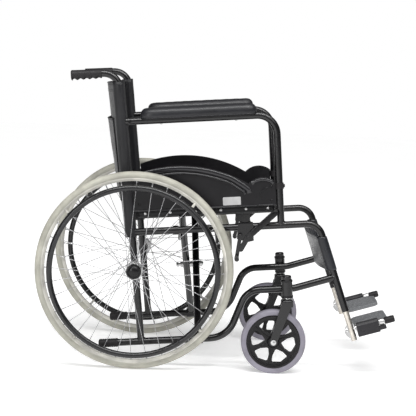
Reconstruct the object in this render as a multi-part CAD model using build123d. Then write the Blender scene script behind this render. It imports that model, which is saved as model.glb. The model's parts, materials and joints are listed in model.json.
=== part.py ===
from build123d import *
from math import atan2, cos, degrees, hypot, pi, radians, sin, tan
import os

# A folding manual wheelchair. Lengths are in millimetres and angles in degrees.
#
# The frame is drawn level, with its origin on the rear axle: X forward, Y to the user's left, Z up.
# The whole frame leans back by FRAME_TILT on its wheels, and row_location() turns it and puts the origin
# on the ground under the middle of the chair. The right side is modelled and the left is its mirror.

# Driving dimensions
REAR_WHEEL_R = 305.0
FRAME_TILT = 5.3
TUBE_R = 11.1
TUBE_WALL = 1.6
SIDE_Y = 235.0
WHEEL_Y = 288.0
RUN_CLEARANCE = 0.05

# Side frame, in the plane y = SIDE_Y
POST_LEAN = 1.65
LOWER_RAIL_Z = -231.0
SIDE_TUBE_Z = 112.0
ARM_TUBE_Z = 454.0
HANDLE_Z = 604.5
HANDLE_REAR_X = -158.0
HANDLE_BEND_R = 50.0
FRONT_POST_X = 457.6
ARM_BEND_R = 60.0
RAIL_REAR_X = -112.0
RAIL_RISE_START_X = 275.0
RAIL_RISE_END_X = 342.0
CASTER_RAIL_Z = -86.5
RAIL_LAST_BEND_X = 490.0
RAIL_FRONT_Z = -58.0
RAIL_BEND_RADII = [83.0, 62.0, 60.0]
HANGER_ANGLE = 14.7
HANGER_TOP_X = 572.4
HANGER_END_Z = -166.0
HANGER_BEND_R = 48.0

# Rubber tips, grips, pads and side panels
TIP_R = 13.5
TIP_LENGTH = 60.0
TIP_END = 14.0
GRIP_R = 15.0
GRIP_FRONT_X = -69.0
GRIP_END = 5.0
PAD_REAR_X = 41.0
PAD_FRONT_X = 400.0
PAD_WIDTH = 56.0
PAD_TOP_Z = 497.0
PAD_BOTTOM_Z = 458.0
PAD_TOP_ROUND = 13.0
GUARD_Y = 238.0
GUARD_T = 5.0
GUARD_BOTTOM_Z = 174.0
GUARD_GAP = 0.4
GUARD_REAR_TOP_Z = 288.0
GUARD_CREST = (135.0, 311.0)
GUARD_VALLEY = (362.0, 245.0)
GUARD_ARCH_TOP = (408.0, 263.0)
GUARD_FRONT_TOP_Z = 248.0

# Rear wheel
TYRE_R = 12.3
RIM_R = 286.0
RIM_INNER_R = 276.0
RIM_WIDTH = 21.0
HUB_BARREL_R = 14.0
HUB_FLANGE_R = 26.0
HUB_FLANGE_T = 3.0
HUB_HALF_WIDTH = 19.5
AXLE_R = 6.0
AXLE_BOSS_R = 14.0
AXLE_BOSS_Y = 263.0
SPOKE_COUNT = 36
SPOKE_R = 0.95
SPOKE_HOLE_R = 23.0
SPOKE_SWEEP = 62.0
SPOKE_SIDESTEP = 3.3
SPOKE_END_R = 275.7
HANDRIM_Y = 322.5
HANDRIM_R = 257.0
HANDRIM_TUBE_R = 9.0
HANDRIM_TABS = 4
HANDRIM_TAB_R = 4.0

# Caster
STEM_X = 466.0
STEM_Y = 262.6
STEM_R = 8.0
HOUSING_R = 17.0
HOUSING_BOTTOM_Z = -110.0
HOUSING_TOP_Z = -60.0
HOUSING_CAP_Z = -41.0
CASTER_R = 100.0
CASTER_TRAIL = 50.0
CASTER_TYRE_INNER_R = 83.5
CASTER_TYRE_WIDTH = 30.0
CASTER_AXLE_R = 4.0
CASTER_HUB_R = 15.0
CASTER_HUB_WIDTH = 33.0
CASTER_WINDOWS = 6
CASTER_WINDOW_TURN = 17.0
CASTER_WINDOW_CORNERS = ((24.0, 0.0), (44.0, 22.5), (65.5, 23.5), (70.0, 0.0), (65.5, -23.5), (44.0, -22.5))
CASTER_WINDOW_ROUND = 5.5
CASTER_DISC_T = 16.0
CASTER_RING_WIDTH = 24.0
CASTER_RING_T = 10.0
FORK_GAP = 36.0
FORK_T = 5.0
FORK_CROWN_TOP_Z = -110.6
FORK_CROWN_BOTTOM_Z = -138.0
FORK_CROWN_LENGTH = 38.0
FORK_COLLAR_R = 14.0
FORK_COLLAR_HEIGHT = 6.0
FORK_BLADE_END_R = 12.0

# Brake, clamped on the side tube just in front of the rear tyre
BRAKE_CLAMP_X = (325.0, 371.0)
BRAKE_CLAMP_R = TUBE_R + 3.5
BRAKE_PLATE = ((325.0, 124.0), (371.0, 124.0), (371.0, 70.0), (351.0, 66.0), (319.0, 78.0))
BRAKE_PLATE_Y = 247.0
BRAKE_LAYER = 5.0
BRAKE_LEVER_PIVOT = (353.0, 82.0)
BRAKE_LEVER_TIP = (437.0, 150.0)
BRAKE_LEVER_LOWER = (330.0, 46.0)
BRAKE_SHOE_PIVOT = (330.0, 88.0)
BRAKE_SHOE = (315.5, 21.0)
BRAKE_SHOE_R = 7.0
BRAKE_PIN_R = 3.0
BRAKE_LEVER_HALF_WIDTH = 8.0
BRAKE_ARM_HALF_WIDTH = 6.0

# Cross brace and seat
BRACE_PIVOT_Z = -29.0
BRACE_X = (184.0, 153.0)
BRACE_SLEEVE_R = 15.5
BRACE_SLEEVE_LENGTH = 30.0
SEAT_RAIL_Y = 210.0
SEAT_RAIL_Z = 167.0
SEAT_RAIL_X = (16.0, 440.0)
PIVOT_BOLT_R = 5.0
PIVOT_BOLT_X = (125.0, 202.0)
STAY_REACH = 158.0
STAY_T = 4.0
SEAT_SAG = 18.0
SLING_T = 4.0
BACK_SLING_Z = (100.0, 575.0)
BACK_SLING_SAG = 36.0
CALF_STRAP_Z = (-40.0, 66.0)
CALF_STRAP_SAG = 34.0

# Footrest
SLIDE_R = TUBE_R - TUBE_WALL - 0.08
SLIDE_INSIDE = 130.0
FOOT_PIN_Z = -224.0
FOOT_TUBE_END_Z = -259.0
FOOT_SLOPE = 12.0
FOOT_PIN_R = 5.0
FOOT_LUG_X = (-11.0, 13.0)
FOOT_BLOCK_X = (17.0, 87.0)
FOOT_BLOCK_R = 16.0
FOOT_PLATE_X = (14.0, 120.0)
FOOT_PLATE_Y = (17.0, 160.0)
FOOT_PLATE_Z = (-9.0, 4.0)
FOOT_KNOB_X = (108.0, 138.0)
FOOT_KNOB_R = 10.5


def post_x(z):
    """The X of the leaning back post's centre line at height z."""
    return -z * tan(radians(POST_LEAN))


def hanger_x(z):
    """The X of the footrest hanger's centre line at height z."""
    return HANGER_TOP_X + (SIDE_TUBE_Z - z) * tan(radians(HANGER_ANGLE))


def bent_tube(points, radii, radius=TUBE_R, wall=TUBE_WALL):
    """A round tube along (x, z) points in the right side frame's plane; wall None makes a rod."""
    corners = [(x, -SIDE_Y, z) for x, z in points]
    path = FilletPolyline(*corners, radius=radii) if radii else Line(*corners)
    start = Plane(origin=path @ 0, z_dir=path % 0)
    ring = Circle(radius) if wall is None else Circle(radius) - Circle(radius - wall)
    return sweep(start * ring, path=path)


def rod(start, end, radius):
    """A solid cylinder from one point to another."""
    axis = Vector(*end) - Vector(*start)
    return Plane(origin=start, z_dir=axis) * Cylinder(
        radius, axis.length, align=(Align.CENTER, Align.CENTER, Align.MIN)
    )


def rod_y(x, z, y0, y1, radius):
    """A solid cylinder along Y."""
    return rod((x, y0, z), (x, y1, z), radius)


def flat_bar(points, radius, y0, y1):
    """A flat bar with round ends through (x, z) points, from y0 to y1."""
    bar = rod_y(*points[0], y0, y1, radius)
    for (xa, za), (xb, zb) in zip(points, points[1:]):
        length = hypot(xb - xa, zb - za)
        turn = degrees(atan2(zb - za, xb - xa))
        middle = Location(((xa + xb) / 2, (y0 + y1) / 2, (za + zb) / 2), (0, -turn, 0))
        bar += middle * Box(length, abs(y1 - y0), 2 * radius)
        bar += rod_y(xb, zb, y0, y1, radius)
    return bar


def plate_xz(outline, y0, y1):
    """A flat plate from a sketch whose X and Y are the frame's X and Z."""
    sketch = Plane(origin=(0, y0, 0), x_dir=(1, 0, 0), z_dir=(0, -1, 0)) * outline
    return extrude(sketch, amount=y1 - y0, dir=(0, 1, 0))


def revolved_y(profile, x, z, y):
    """A body of revolution about an axis along Y; the profile's X is the radius, its Y is along Y."""
    sketch = Plane(origin=(x, y, z), x_dir=(1, 0, 0), z_dir=(0, 0, 1)) * profile
    return revolve(sketch, axis=Axis((x, y, z), (0, 1, 0)))


# Side frame -----------------------------------------------------------------


RAIL_PATH = [
    (RAIL_REAR_X, LOWER_RAIL_Z),
    (RAIL_RISE_START_X, LOWER_RAIL_Z),
    (RAIL_RISE_END_X, CASTER_RAIL_Z),
    (RAIL_LAST_BEND_X, CASTER_RAIL_Z),
    (hanger_x(RAIL_FRONT_Z), RAIL_FRONT_Z),
]
SIDE_TUBE_PATH = [
    (post_x(SIDE_TUBE_Z), SIDE_TUBE_Z),
    (HANGER_TOP_X, SIDE_TUBE_Z),
    (hanger_x(HANGER_END_Z), HANGER_END_Z),
]
POST_PATH = [
    (post_x(LOWER_RAIL_Z), LOWER_RAIL_Z),
    (post_x(HANDLE_Z), HANDLE_Z),
    (HANDLE_REAR_X, HANDLE_Z),
]
ARM_PATH = [
    (post_x(ARM_TUBE_Z), ARM_TUBE_Z),
    (FRONT_POST_X, ARM_TUBE_Z),
    (FRONT_POST_X, SIDE_TUBE_Z),
]


def side_frame():
    """The four welded tubes of one side, each coped against the tubes that it meets."""
    side_tube_rod = bent_tube(SIDE_TUBE_PATH, [HANGER_BEND_R], wall=None)
    rail_rod = bent_tube(RAIL_PATH, RAIL_BEND_RADII, wall=None)
    post_rod = bent_tube(POST_PATH, [HANDLE_BEND_R], wall=None)

    boss = rod_y(0, 0, -SIDE_Y, -AXLE_BOSS_Y, AXLE_BOSS_R)
    post = bent_tube(POST_PATH, [HANDLE_BEND_R]) + boss
    post -= rail_rod
    post -= rod_y(0, 0, -SIDE_Y + 4, -AXLE_BOSS_Y, AXLE_R)

    rail = bent_tube(RAIL_PATH, RAIL_BEND_RADII) - side_tube_rod
    side_tube = bent_tube(SIDE_TUBE_PATH, [HANGER_BEND_R]) - post_rod
    arm = bent_tube(ARM_PATH, [ARM_BEND_R]) - post_rod - side_tube_rod
    return {"back_post": post, "lower_rail": rail, "side_tube": side_tube, "arm_tube": arm}


def rail_tip():
    """The rubber tip over the lower rail's rear end, used as a tipping step."""
    rear = RAIL_REAR_X - TIP_END
    body = rod((rear, -SIDE_Y, LOWER_RAIL_Z), (rear + TIP_LENGTH, -SIDE_Y, LOWER_RAIL_Z), TIP_R)
    body = fillet(body.edges().group_by(Axis.X)[0], 4)
    inside = rod((RAIL_REAR_X, -SIDE_Y, LOWER_RAIL_Z), (0, -SIDE_Y, LOWER_RAIL_Z), TUBE_R)
    return body - inside


def push_grip():
    """The moulded grip over the push handle's end."""
    rear = HANDLE_REAR_X - GRIP_END
    body = rod((rear, -SIDE_Y, HANDLE_Z), (GRIP_FRONT_X, -SIDE_Y, HANDLE_Z), GRIP_R)
    body = fillet(body.edges(), 3)
    inside = rod((HANDLE_REAR_X, -SIDE_Y, HANDLE_Z), (0, -SIDE_Y, HANDLE_Z), TUBE_R)
    return body - inside


def arm_pad():
    """The padded armrest, which sits over the top half of the arm tube."""
    length = PAD_FRONT_X - PAD_REAR_X
    height = PAD_TOP_Z - PAD_BOTTOM_Z
    middle = ((PAD_REAR_X + PAD_FRONT_X) / 2, -SIDE_Y, (PAD_TOP_Z + PAD_BOTTOM_Z) / 2)
    pad = Location(middle) * Box(length, PAD_WIDTH, height)
    pad = fillet(pad.edges().filter_by(Axis.Z), PAD_WIDTH / 2 - 4)
    pad = fillet(pad.edges().group_by(Axis.Z)[-1], PAD_TOP_ROUND)
    return pad - bent_tube(ARM_PATH, [ARM_BEND_R], wall=None)


def skirt_guard():
    """The moulded side panel under the armrest, from the back post to the front post."""
    rear_x = post_x(GUARD_BOTTOM_Z) + TUBE_R + GUARD_GAP
    front_x = FRONT_POST_X - TUBE_R - GUARD_GAP
    front_top = (front_x, GUARD_FRONT_TOP_Z)
    rear_top = (rear_x, GUARD_REAR_TOP_Z)
    outline = Polyline(front_top, (front_x, GUARD_BOTTOM_Z), (rear_x, GUARD_BOTTOM_Z), rear_top)
    outline += ThreePointArc(rear_top, GUARD_CREST, GUARD_VALLEY)
    outline += ThreePointArc(GUARD_VALLEY, GUARD_ARCH_TOP, front_top)
    return plate_xz(make_face(outline), -GUARD_Y - GUARD_T / 2, -GUARD_Y + GUARD_T / 2)


# Rear wheel -----------------------------------------------------------------


def handrim():
    """The push rim, a ring outboard of the wheel."""
    return revolved_y(Pos(HANDRIM_R, 0) * Circle(HANDRIM_TUBE_R), 0, 0, -HANDRIM_Y)


def rim(handrim_solid):
    """The steel rim, a shallow channel open towards the tyre, with the tabs that carry the push rim."""
    half = RIM_WIDTH / 2
    bed = RIM_R - 4
    channel = Polyline(
        (RIM_INNER_R, -half + 3),
        (RIM_INNER_R, half - 3),
        (bed, half),
        (RIM_R, half),
        (RIM_R, half - 2),
        (bed, half - 3),
        (bed, -half + 3),
        (RIM_R, -half + 2),
        (RIM_R, -half),
        (bed, -half),
        close=True,
    )
    body = revolved_y(make_face(channel), 0, 0, -WHEEL_Y)
    root_r = RIM_INNER_R + 3
    for index in range(HANDRIM_TABS):
        angle = 2 * pi * (index + 0.5) / HANDRIM_TABS
        start = (HANDRIM_R * cos(angle), -HANDRIM_Y, HANDRIM_R * sin(angle))
        end = (root_r * cos(angle), -WHEEL_Y - half + 4.5, root_r * sin(angle))
        body += rod(start, end, HANDRIM_TAB_R) - handrim_solid
    return body


def tyre(rim_solid):
    """The solid tyre, seated in the rim."""
    middle_r = REAR_WHEEL_R - TYRE_R
    section = Pos(middle_r, 0) * Circle(TYRE_R)
    section += Pos((RIM_R + middle_r) / 2 - 1, 0) * Rectangle(middle_r - RIM_R + 6, RIM_WIDTH - 6)
    return revolved_y(section, 0, 0, -WHEEL_Y) - rim_solid


def hub():
    """The hub: two spoke flanges on a barrel, bored for the axle."""
    profile = Pos(HUB_BARREL_R / 2, 0) * Rectangle(HUB_BARREL_R, 2 * HUB_HALF_WIDTH)
    for side in (-1, 1):
        flange_y = side * (HUB_HALF_WIDTH - HUB_FLANGE_T / 2)
        profile += Pos(HUB_FLANGE_R / 2, flange_y) * Rectangle(HUB_FLANGE_R, HUB_FLANGE_T)
    body = revolved_y(profile, 0, 0, -WHEEL_Y)
    return body - rod_y(0, 0, -WHEEL_Y - 40, -WHEEL_Y + 40, AXLE_R + RUN_CLEARANCE)


def spokes():
    """Crossed spokes from both flanges; those of one flange sit either side of it, and so pass."""
    made = []
    for index in range(SPOKE_COUNT):
        flange = 1 if index % 2 else -1
        sweep_way = 1 if index % 4 < 2 else -1
        hub_y = -WHEEL_Y + flange * (HUB_HALF_WIDTH - HUB_FLANGE_T / 2 + sweep_way * SPOKE_SIDESTEP)
        rim_angle = radians(360 / SPOKE_COUNT * (index + 0.5))
        hub_angle = rim_angle + sweep_way * radians(SPOKE_SWEEP)
        start = (SPOKE_HOLE_R * cos(hub_angle), hub_y, SPOKE_HOLE_R * sin(hub_angle))
        end = (
            SPOKE_END_R * cos(rim_angle),
            -WHEEL_Y + flange * 2.0,
            SPOKE_END_R * sin(rim_angle),
        )
        made.append(rod(start, end, SPOKE_R))
    return Compound(made)


def axle():
    """The wheel axle: it is fixed in the back post's boss, and the hub turns on it."""
    shaft = rod_y(0, 0, -SIDE_Y + 4, -WHEEL_Y - HUB_HALF_WIDTH - 6, AXLE_R)
    head = rod_y(0, 0, -WHEEL_Y - HUB_HALF_WIDTH - 0.6, -WHEEL_Y - HUB_HALF_WIDTH - 8, 11)
    collar = rod_y(0, 0, -AXLE_BOSS_Y, -WHEEL_Y + HUB_HALF_WIDTH + 0.6, 9)
    return shaft + head + collar


# Caster ---------------------------------------------------------------------


def caster_axle_point():
    """The (x, z) of the caster's axle, which puts its tyre on the ground that the rear tyre is on."""
    tilt = radians(FRAME_TILT)
    x = STEM_X - CASTER_TRAIL
    z = (CASTER_R - REAR_WHEEL_R - x * sin(tilt)) / cos(tilt)
    return x, z


def caster_housing():
    """The stem bearing housing, welded to the outside of the lower rail, with its top cap."""
    body = rod((STEM_X, -STEM_Y, HOUSING_BOTTOM_Z), (STEM_X, -STEM_Y, HOUSING_TOP_Z), HOUSING_R)
    cap = rod((STEM_X, -STEM_Y, HOUSING_TOP_Z), (STEM_X, -STEM_Y, HOUSING_CAP_Z), HOUSING_R - 2)
    body += fillet(cap.edges().group_by(Axis.Z)[-1], 5)
    bore_top = HOUSING_TOP_Z + 2
    bore = rod((STEM_X, -STEM_Y, HOUSING_BOTTOM_Z), (STEM_X, -STEM_Y, bore_top), STEM_R + RUN_CLEARANCE)
    return body - bore - bent_tube(RAIL_PATH, RAIL_BEND_RADII, wall=None)


def caster_fork():
    """The swivelling fork: stem, crown and two blades that trail back to the axle."""
    x, z = caster_axle_point()
    half = FORK_GAP / 2 + FORK_T
    crown_mid_z = (FORK_CROWN_TOP_Z - FORK_COLLAR_HEIGHT + FORK_CROWN_BOTTOM_Z) / 2
    crown_height = FORK_CROWN_TOP_Z - FORK_COLLAR_HEIGHT - FORK_CROWN_BOTTOM_Z
    crown = Location((STEM_X - 2, -STEM_Y, crown_mid_z)) * Box(FORK_CROWN_LENGTH, 2 * half, crown_height)
    crown = fillet(crown.edges().filter_by(Axis.Z), 9)
    crown = fillet(crown.edges().group_by(Axis.Z)[-1], 5)
    fork = crown + rod((STEM_X, -STEM_Y, FORK_CROWN_TOP_Z), (STEM_X, -STEM_Y, crown_mid_z), FORK_COLLAR_R)
    fork += rod((STEM_X, -STEM_Y, crown_mid_z), (STEM_X, -STEM_Y, HOUSING_TOP_Z), STEM_R)
    front, rear = STEM_X + 15, STEM_X - 20
    top = crown_mid_z
    end_r = FORK_BLADE_END_R
    outline = Polygon((rear, top), (front, top), (x + end_r, z), (x - end_r, z), align=None)
    for y0 in (-STEM_Y - half, -STEM_Y + FORK_GAP / 2):
        blade = plate_xz(outline, y0, y0 + FORK_T) + rod_y(x, z, y0, y0 + FORK_T, end_r)
        fork += blade
    return fork - rod_y(x, z, -STEM_Y - 40, -STEM_Y + 40, CASTER_AXLE_R)


def caster_axle():
    """The bolt through both fork blades, with a head and a nut."""
    x, z = caster_axle_point()
    reach = FORK_GAP / 2 + FORK_T
    bolt = rod_y(x, z, -STEM_Y - reach - 4, -STEM_Y + reach + 4, CASTER_AXLE_R)
    for side in (-1, 1):
        bolt += rod_y(x, z, -STEM_Y + side * reach, -STEM_Y + side * (reach + 4), 7)
    return bolt


def caster_wheel():
    """The moulded wheel: six spokes between rounded windows, a rim and a bored hub."""
    x, z = caster_axle_point()
    disc = Circle(CASTER_TYRE_INNER_R)
    for index in range(CASTER_WINDOWS):
        middle = 360 / CASTER_WINDOWS * (index + 0.5) + CASTER_WINDOW_TURN
        turns = [(r, radians(middle + a)) for r, a in CASTER_WINDOW_CORNERS]
        window = Polygon(*[(r * cos(a), r * sin(a)) for r, a in turns], align=None)
        disc -= fillet(window.vertices(), CASTER_WINDOW_ROUND)
    wheel = plate_xz(disc, -CASTER_DISC_T / 2, CASTER_DISC_T / 2)
    ring = Circle(CASTER_TYRE_INNER_R) - Circle(CASTER_TYRE_INNER_R - CASTER_RING_T)
    wheel += plate_xz(ring, -CASTER_RING_WIDTH / 2, CASTER_RING_WIDTH / 2)
    wheel += rod_y(0, 0, -CASTER_HUB_WIDTH / 2, CASTER_HUB_WIDTH / 2, CASTER_HUB_R)
    wheel -= rod_y(0, 0, -40, 40, CASTER_AXLE_R + RUN_CLEARANCE)
    return Location((x, -STEM_Y, z)) * wheel


def caster_tyre():
    """The grey caster tyre, with rounded shoulders."""
    x, z = caster_axle_point()
    width = CASTER_R - CASTER_TYRE_INNER_R
    section = Pos(CASTER_R - width / 2, 0) * Rectangle(width, CASTER_TYRE_WIDTH)
    section = fillet(section.vertices().group_by(Axis.X)[-1], 9)
    return revolved_y(section, x, z, -STEM_Y)


# Brake ----------------------------------------------------------------------


def brake_layer(number):
    """The y limits of one of the brake's stacked layers, counted outwards from the side tube."""
    inner = -(BRAKE_PLATE_Y + number * (BRAKE_LAYER + 0.6))
    return inner - BRAKE_LAYER, inner


def brake_bracket():
    """The clamp on the side tube, with the plate and two pins that carry the lever and the shoe."""
    x0, x1 = BRAKE_CLAMP_X
    clamp = rod((x0, -SIDE_Y, SIDE_TUBE_Z), (x1, -SIDE_Y, SIDE_TUBE_Z), BRAKE_CLAMP_R)
    y0, y1 = brake_layer(0)
    plate = plate_xz(Polygon(*BRAKE_PLATE, align=None), y0, y1 + 2)
    bracket = clamp + plate
    for (x, z), layer in ((BRAKE_LEVER_PIVOT, 1), (BRAKE_SHOE_PIVOT, 2)):
        bracket += rod_y(x, z, y1, brake_layer(layer)[0] - 2, BRAKE_PIN_R)
    return bracket - bent_tube(SIDE_TUBE_PATH, [HANGER_BEND_R], wall=None)


def brake_lever():
    """The hand lever, a flat bar from the handle down to its pivot and its lower end."""
    y0, y1 = brake_layer(1)
    points = [BRAKE_LEVER_TIP, BRAKE_LEVER_PIVOT, BRAKE_LEVER_LOWER]
    lever = flat_bar(points, BRAKE_LEVER_HALF_WIDTH, y0, y1)
    return lever - rod_y(*BRAKE_LEVER_PIVOT, y0 - 9, y1 + 9, BRAKE_PIN_R + RUN_CLEARANCE)


def brake_shoe():
    """The shoe arm with its round foot, which presses on the tyre."""
    y0, y1 = brake_layer(2)
    shoe = flat_bar([BRAKE_SHOE_PIVOT, BRAKE_SHOE], BRAKE_ARM_HALF_WIDTH, y0, y1)
    shoe += rod_y(*BRAKE_SHOE, y1, -WHEEL_Y - TYRE_R, BRAKE_SHOE_R)
    return shoe - rod_y(*BRAKE_SHOE_PIVOT, y0 - 9, y1 + 9, BRAKE_PIN_R + RUN_CLEARANCE)


# Footrest -------------------------------------------------------------------


def foot_frame():
    """The footplate's own frame: X along its hinge pin, from the hanger forward, Y inboard."""
    return Location((hanger_x(FOOT_PIN_Z), -SIDE_Y, FOOT_PIN_Z), (0, -FOOT_SLOPE, 0))


def footrest_tube():
    """The telescoping lower tube, with the lug that holds the footplate's pin."""
    top_z = HANGER_END_Z + SLIDE_INSIDE * cos(radians(HANGER_ANGLE))
    path = [(hanger_x(top_z), top_z), (hanger_x(FOOT_TUBE_END_Z), FOOT_TUBE_END_Z)]
    tube = bent_tube(path, None, SLIDE_R, 1.5)
    lug = rod((FOOT_LUG_X[0], 0, 0), (FOOT_LUG_X[1], 0, 0), 13)
    hole = rod((-20, 0, 0), (40, 0, 0), FOOT_PIN_R)
    return tube + foot_frame() * lug - foot_frame() * hole


def footplate_pin():
    """The hinge pin with its washer and the round knob on its front end."""
    washer_x = FOOT_LUG_X[0] - 5
    pin = rod((washer_x, 0, 0), (FOOT_KNOB_X[0], 0, 0), FOOT_PIN_R)
    pin += rod((washer_x, 0, 0), (FOOT_LUG_X[0], 0, 0), 9)
    pin += rod((FOOT_BLOCK_X[1] + 0.6, 0, 0), (FOOT_BLOCK_X[1] + 12, 0, 0), 11)
    knob = rod((FOOT_KNOB_X[0], 0, 0), (FOOT_KNOB_X[1], 0, 0), FOOT_KNOB_R)
    pin += fillet(knob.edges(), 2)
    return foot_frame() * pin


def footplate():
    """The flip-up footplate, with the hinge block that turns on the pin."""
    x0, x1 = FOOT_BLOCK_X
    block = Pos((x0 + x1) / 2, 0, -3) * Box(x1 - x0, 2 * FOOT_BLOCK_R, 38)
    block = fillet(block.edges().filter_by(Axis.X), 9)
    px0, px1 = FOOT_PLATE_X
    py0, py1 = FOOT_PLATE_Y
    pz0, pz1 = FOOT_PLATE_Z
    outline = Polygon(
        (px0, py0 - 6), (px1 - 28, py0 - 6), (px1, py0 + 26), (px1, py1), (px0, py1), align=None
    )
    plate = Pos(0, 0, pz0) * extrude(outline, amount=pz1 - pz0, dir=(0, 0, 1))
    corners = [e for e in plate.edges().filter_by(Axis.Z) if e.center().Y > py0 + 40]
    plate = fillet(corners, 18)
    made = block + plate
    made -= rod((x0 - 9, 0, 0), (x1 + 9, 0, 0), FOOT_PIN_R + RUN_CLEARANCE)
    keep_clear = rod((FOOT_BLOCK_X[1] + 0.2, 0, 0), (FOOT_KNOB_X[1] + 9, 0, 0), FOOT_KNOB_R + 1)
    return foot_frame() * (made - keep_clear)


# Cross brace ----------------------------------------------------------------


def brace_angle():
    """The brace bar's angle from upright, in radians."""
    return atan2(SIDE_Y, BRACE_PIVOT_Z - LOWER_RAIL_Z)


def brace_bar(index):
    """A bar from the right lower rail up to the left seat rail, with a sleeve on the lower rail."""
    x = BRACE_X[index]
    angle = brace_angle()
    rail_y, rail_z = -SIDE_Y, LOWER_RAIL_Z
    length = hypot(SEAT_RAIL_Y + SIDE_Y, SEAT_RAIL_Z - LOWER_RAIL_Z)
    top = (x, rail_y + length * sin(angle), rail_z + length * cos(angle))
    bar = rod((x, rail_y, rail_z), top, TUBE_R) - rod((x, rail_y, rail_z), top, TUBE_R - TUBE_WALL)
    half = BRACE_SLEEVE_LENGTH / 2
    sleeve = rod((x - half, rail_y, rail_z), (x + half, rail_y, rail_z), BRACE_SLEEVE_R)
    bore = rod((x - 40, rail_y, rail_z), (x + 40, rail_y, rail_z), TUBE_R + RUN_CLEARANCE)
    seat_rod = rod((0, SEAT_RAIL_Y, SEAT_RAIL_Z), (500, SEAT_RAIL_Y, SEAT_RAIL_Z), TUBE_R)
    above = Location((x, SEAT_RAIL_Y + 30, SEAT_RAIL_Z + 26)) * Box(40, 90, 52)
    hole = rod((x - 40, 0, BRACE_PIVOT_Z), (x + 40, 0, BRACE_PIVOT_Z), PIVOT_BOLT_R + index * RUN_CLEARANCE)
    return bar + sleeve - bore - seat_rod - above - hole


def seat_rail():
    """The left seat rail, a straight tube with plugged ends."""
    ends = [(x, SEAT_RAIL_Y, SEAT_RAIL_Z) for x in SEAT_RAIL_X]
    plugs = [
        rod(ends[0], (SEAT_RAIL_X[0] + 3, SEAT_RAIL_Y, SEAT_RAIL_Z), TUBE_R),
        rod((SEAT_RAIL_X[1] - 3, SEAT_RAIL_Y, SEAT_RAIL_Z), ends[1], TUBE_R),
    ]
    return rod(*ends, TUBE_R) - rod(*ends, TUBE_R - TUBE_WALL) + plugs[0] + plugs[1]


def pivot_bolt():
    """The bolt at the brace's crossing, with its head, nut and the spacer between the bars."""
    x0, x1 = PIVOT_BOLT_X
    front = BRACE_X[0] + TUBE_R + 0.2
    gap = (BRACE_X[1] + TUBE_R + 0.6, BRACE_X[0] - TUBE_R - 0.2)
    rear = BRACE_X[1] - TUBE_R - 0.6
    bolt = rod((x0, 0, BRACE_PIVOT_Z), (x1, 0, BRACE_PIVOT_Z), PIVOT_BOLT_R)
    bolt += rod((front, 0, BRACE_PIVOT_Z), (x1, 0, BRACE_PIVOT_Z), 9)
    bolt += rod((gap[0], 0, BRACE_PIVOT_Z), (gap[1], 0, BRACE_PIVOT_Z), 9)
    bolt += rod((rear - 8, 0, BRACE_PIVOT_Z), (rear, 0, BRACE_PIVOT_Z), 9)
    return bolt


def stay_link():
    """The right stay: a flat link on a sleeve round the side tube, which holds the frame upright."""
    x1 = BRACE_X[1] - TUBE_R - 0.6
    x0 = x1 - STAY_T
    angle = brace_angle()
    arm = SIDE_Y / sin(angle)
    far_y = -SIDE_Y + (arm - STAY_REACH) * sin(angle)
    far_z = LOWER_RAIL_Z + (arm + STAY_REACH) * cos(angle)
    near = (-SIDE_Y, SIDE_TUBE_Z)
    length = hypot(far_y - near[0], far_z - near[1])
    turn = degrees(atan2(far_z - near[1], far_y - near[0]))
    middle = ((x0 + x1) / 2, (near[0] + far_y) / 2, (near[1] + far_z) / 2)
    link = Location(middle, (turn, 0, 0)) * Box(STAY_T, length, 18)
    link += rod((x0, far_y, far_z), (x1, far_y, far_z), 9)
    link += rod((x0 - 3, far_y, far_z), (x0, far_y, far_z), 6)
    link += rod((x0 - 14, *near), (x1, *near), TUBE_R + 3)
    return link - rod((x0 - 40, *near), (x1 + 40, *near), TUBE_R + RUN_CLEARANCE)


# Upholstery, as plain closed sheets ------------------------------------------


def hung_sheet(plane, half_width, sag, length):
    """A sheet with an even sag between two sides, drawn in a plane and run along its normal."""
    outer = ThreePointArc((-half_width, 0), (0, -sag), (half_width, 0))
    inner = ThreePointArc((-half_width, -SLING_T), (0, -sag - SLING_T), (half_width, -SLING_T))
    ends = Line(outer @ 0, inner @ 0) + Line(outer @ 1, inner @ 1)
    return extrude(plane * make_face(outer + inner + ends), amount=length)


def seat_sling():
    """The seat: it lies on both seat rails and sags a little between them."""
    top = SEAT_RAIL_Z + TUBE_R + 1.6 + SLING_T
    plane = Plane(origin=(SEAT_RAIL_X[0], 0, top), x_dir=(0, 1, 0), z_dir=(1, 0, 0))
    length = SEAT_RAIL_X[1] - SEAT_RAIL_X[0]
    return hung_sheet(plane, SEAT_RAIL_Y + 4, SEAT_SAG, length)


def back_sling():
    """The backrest: it hangs between the back posts and bows to the rear."""
    z0, z1 = BACK_SLING_Z
    lean = radians(POST_LEAN)
    up = (-sin(lean), 0, cos(lean))
    plane = Plane(origin=(post_x(z0) - TUBE_R - 2, 0, z0), x_dir=(0, -1, 0), z_dir=up)
    return hung_sheet(plane, SIDE_Y - TUBE_R - 1, BACK_SLING_SAG, (z1 - z0) / cos(lean))


def calf_strap():
    """The calf strap: it hangs between the two footrest hangers and bows to the rear."""
    z0, z1 = CALF_STRAP_Z
    lean = radians(HANGER_ANGLE)
    up = (-sin(lean), 0, cos(lean))
    plane = Plane(origin=(hanger_x(z0) - 4, 0, z0), x_dir=(0, -1, 0), z_dir=up)
    return hung_sheet(plane, SIDE_Y - TUBE_R - 1, CALF_STRAP_SAG, (z1 - z0) / cos(lean))


# Assembly -------------------------------------------------------------------


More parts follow.
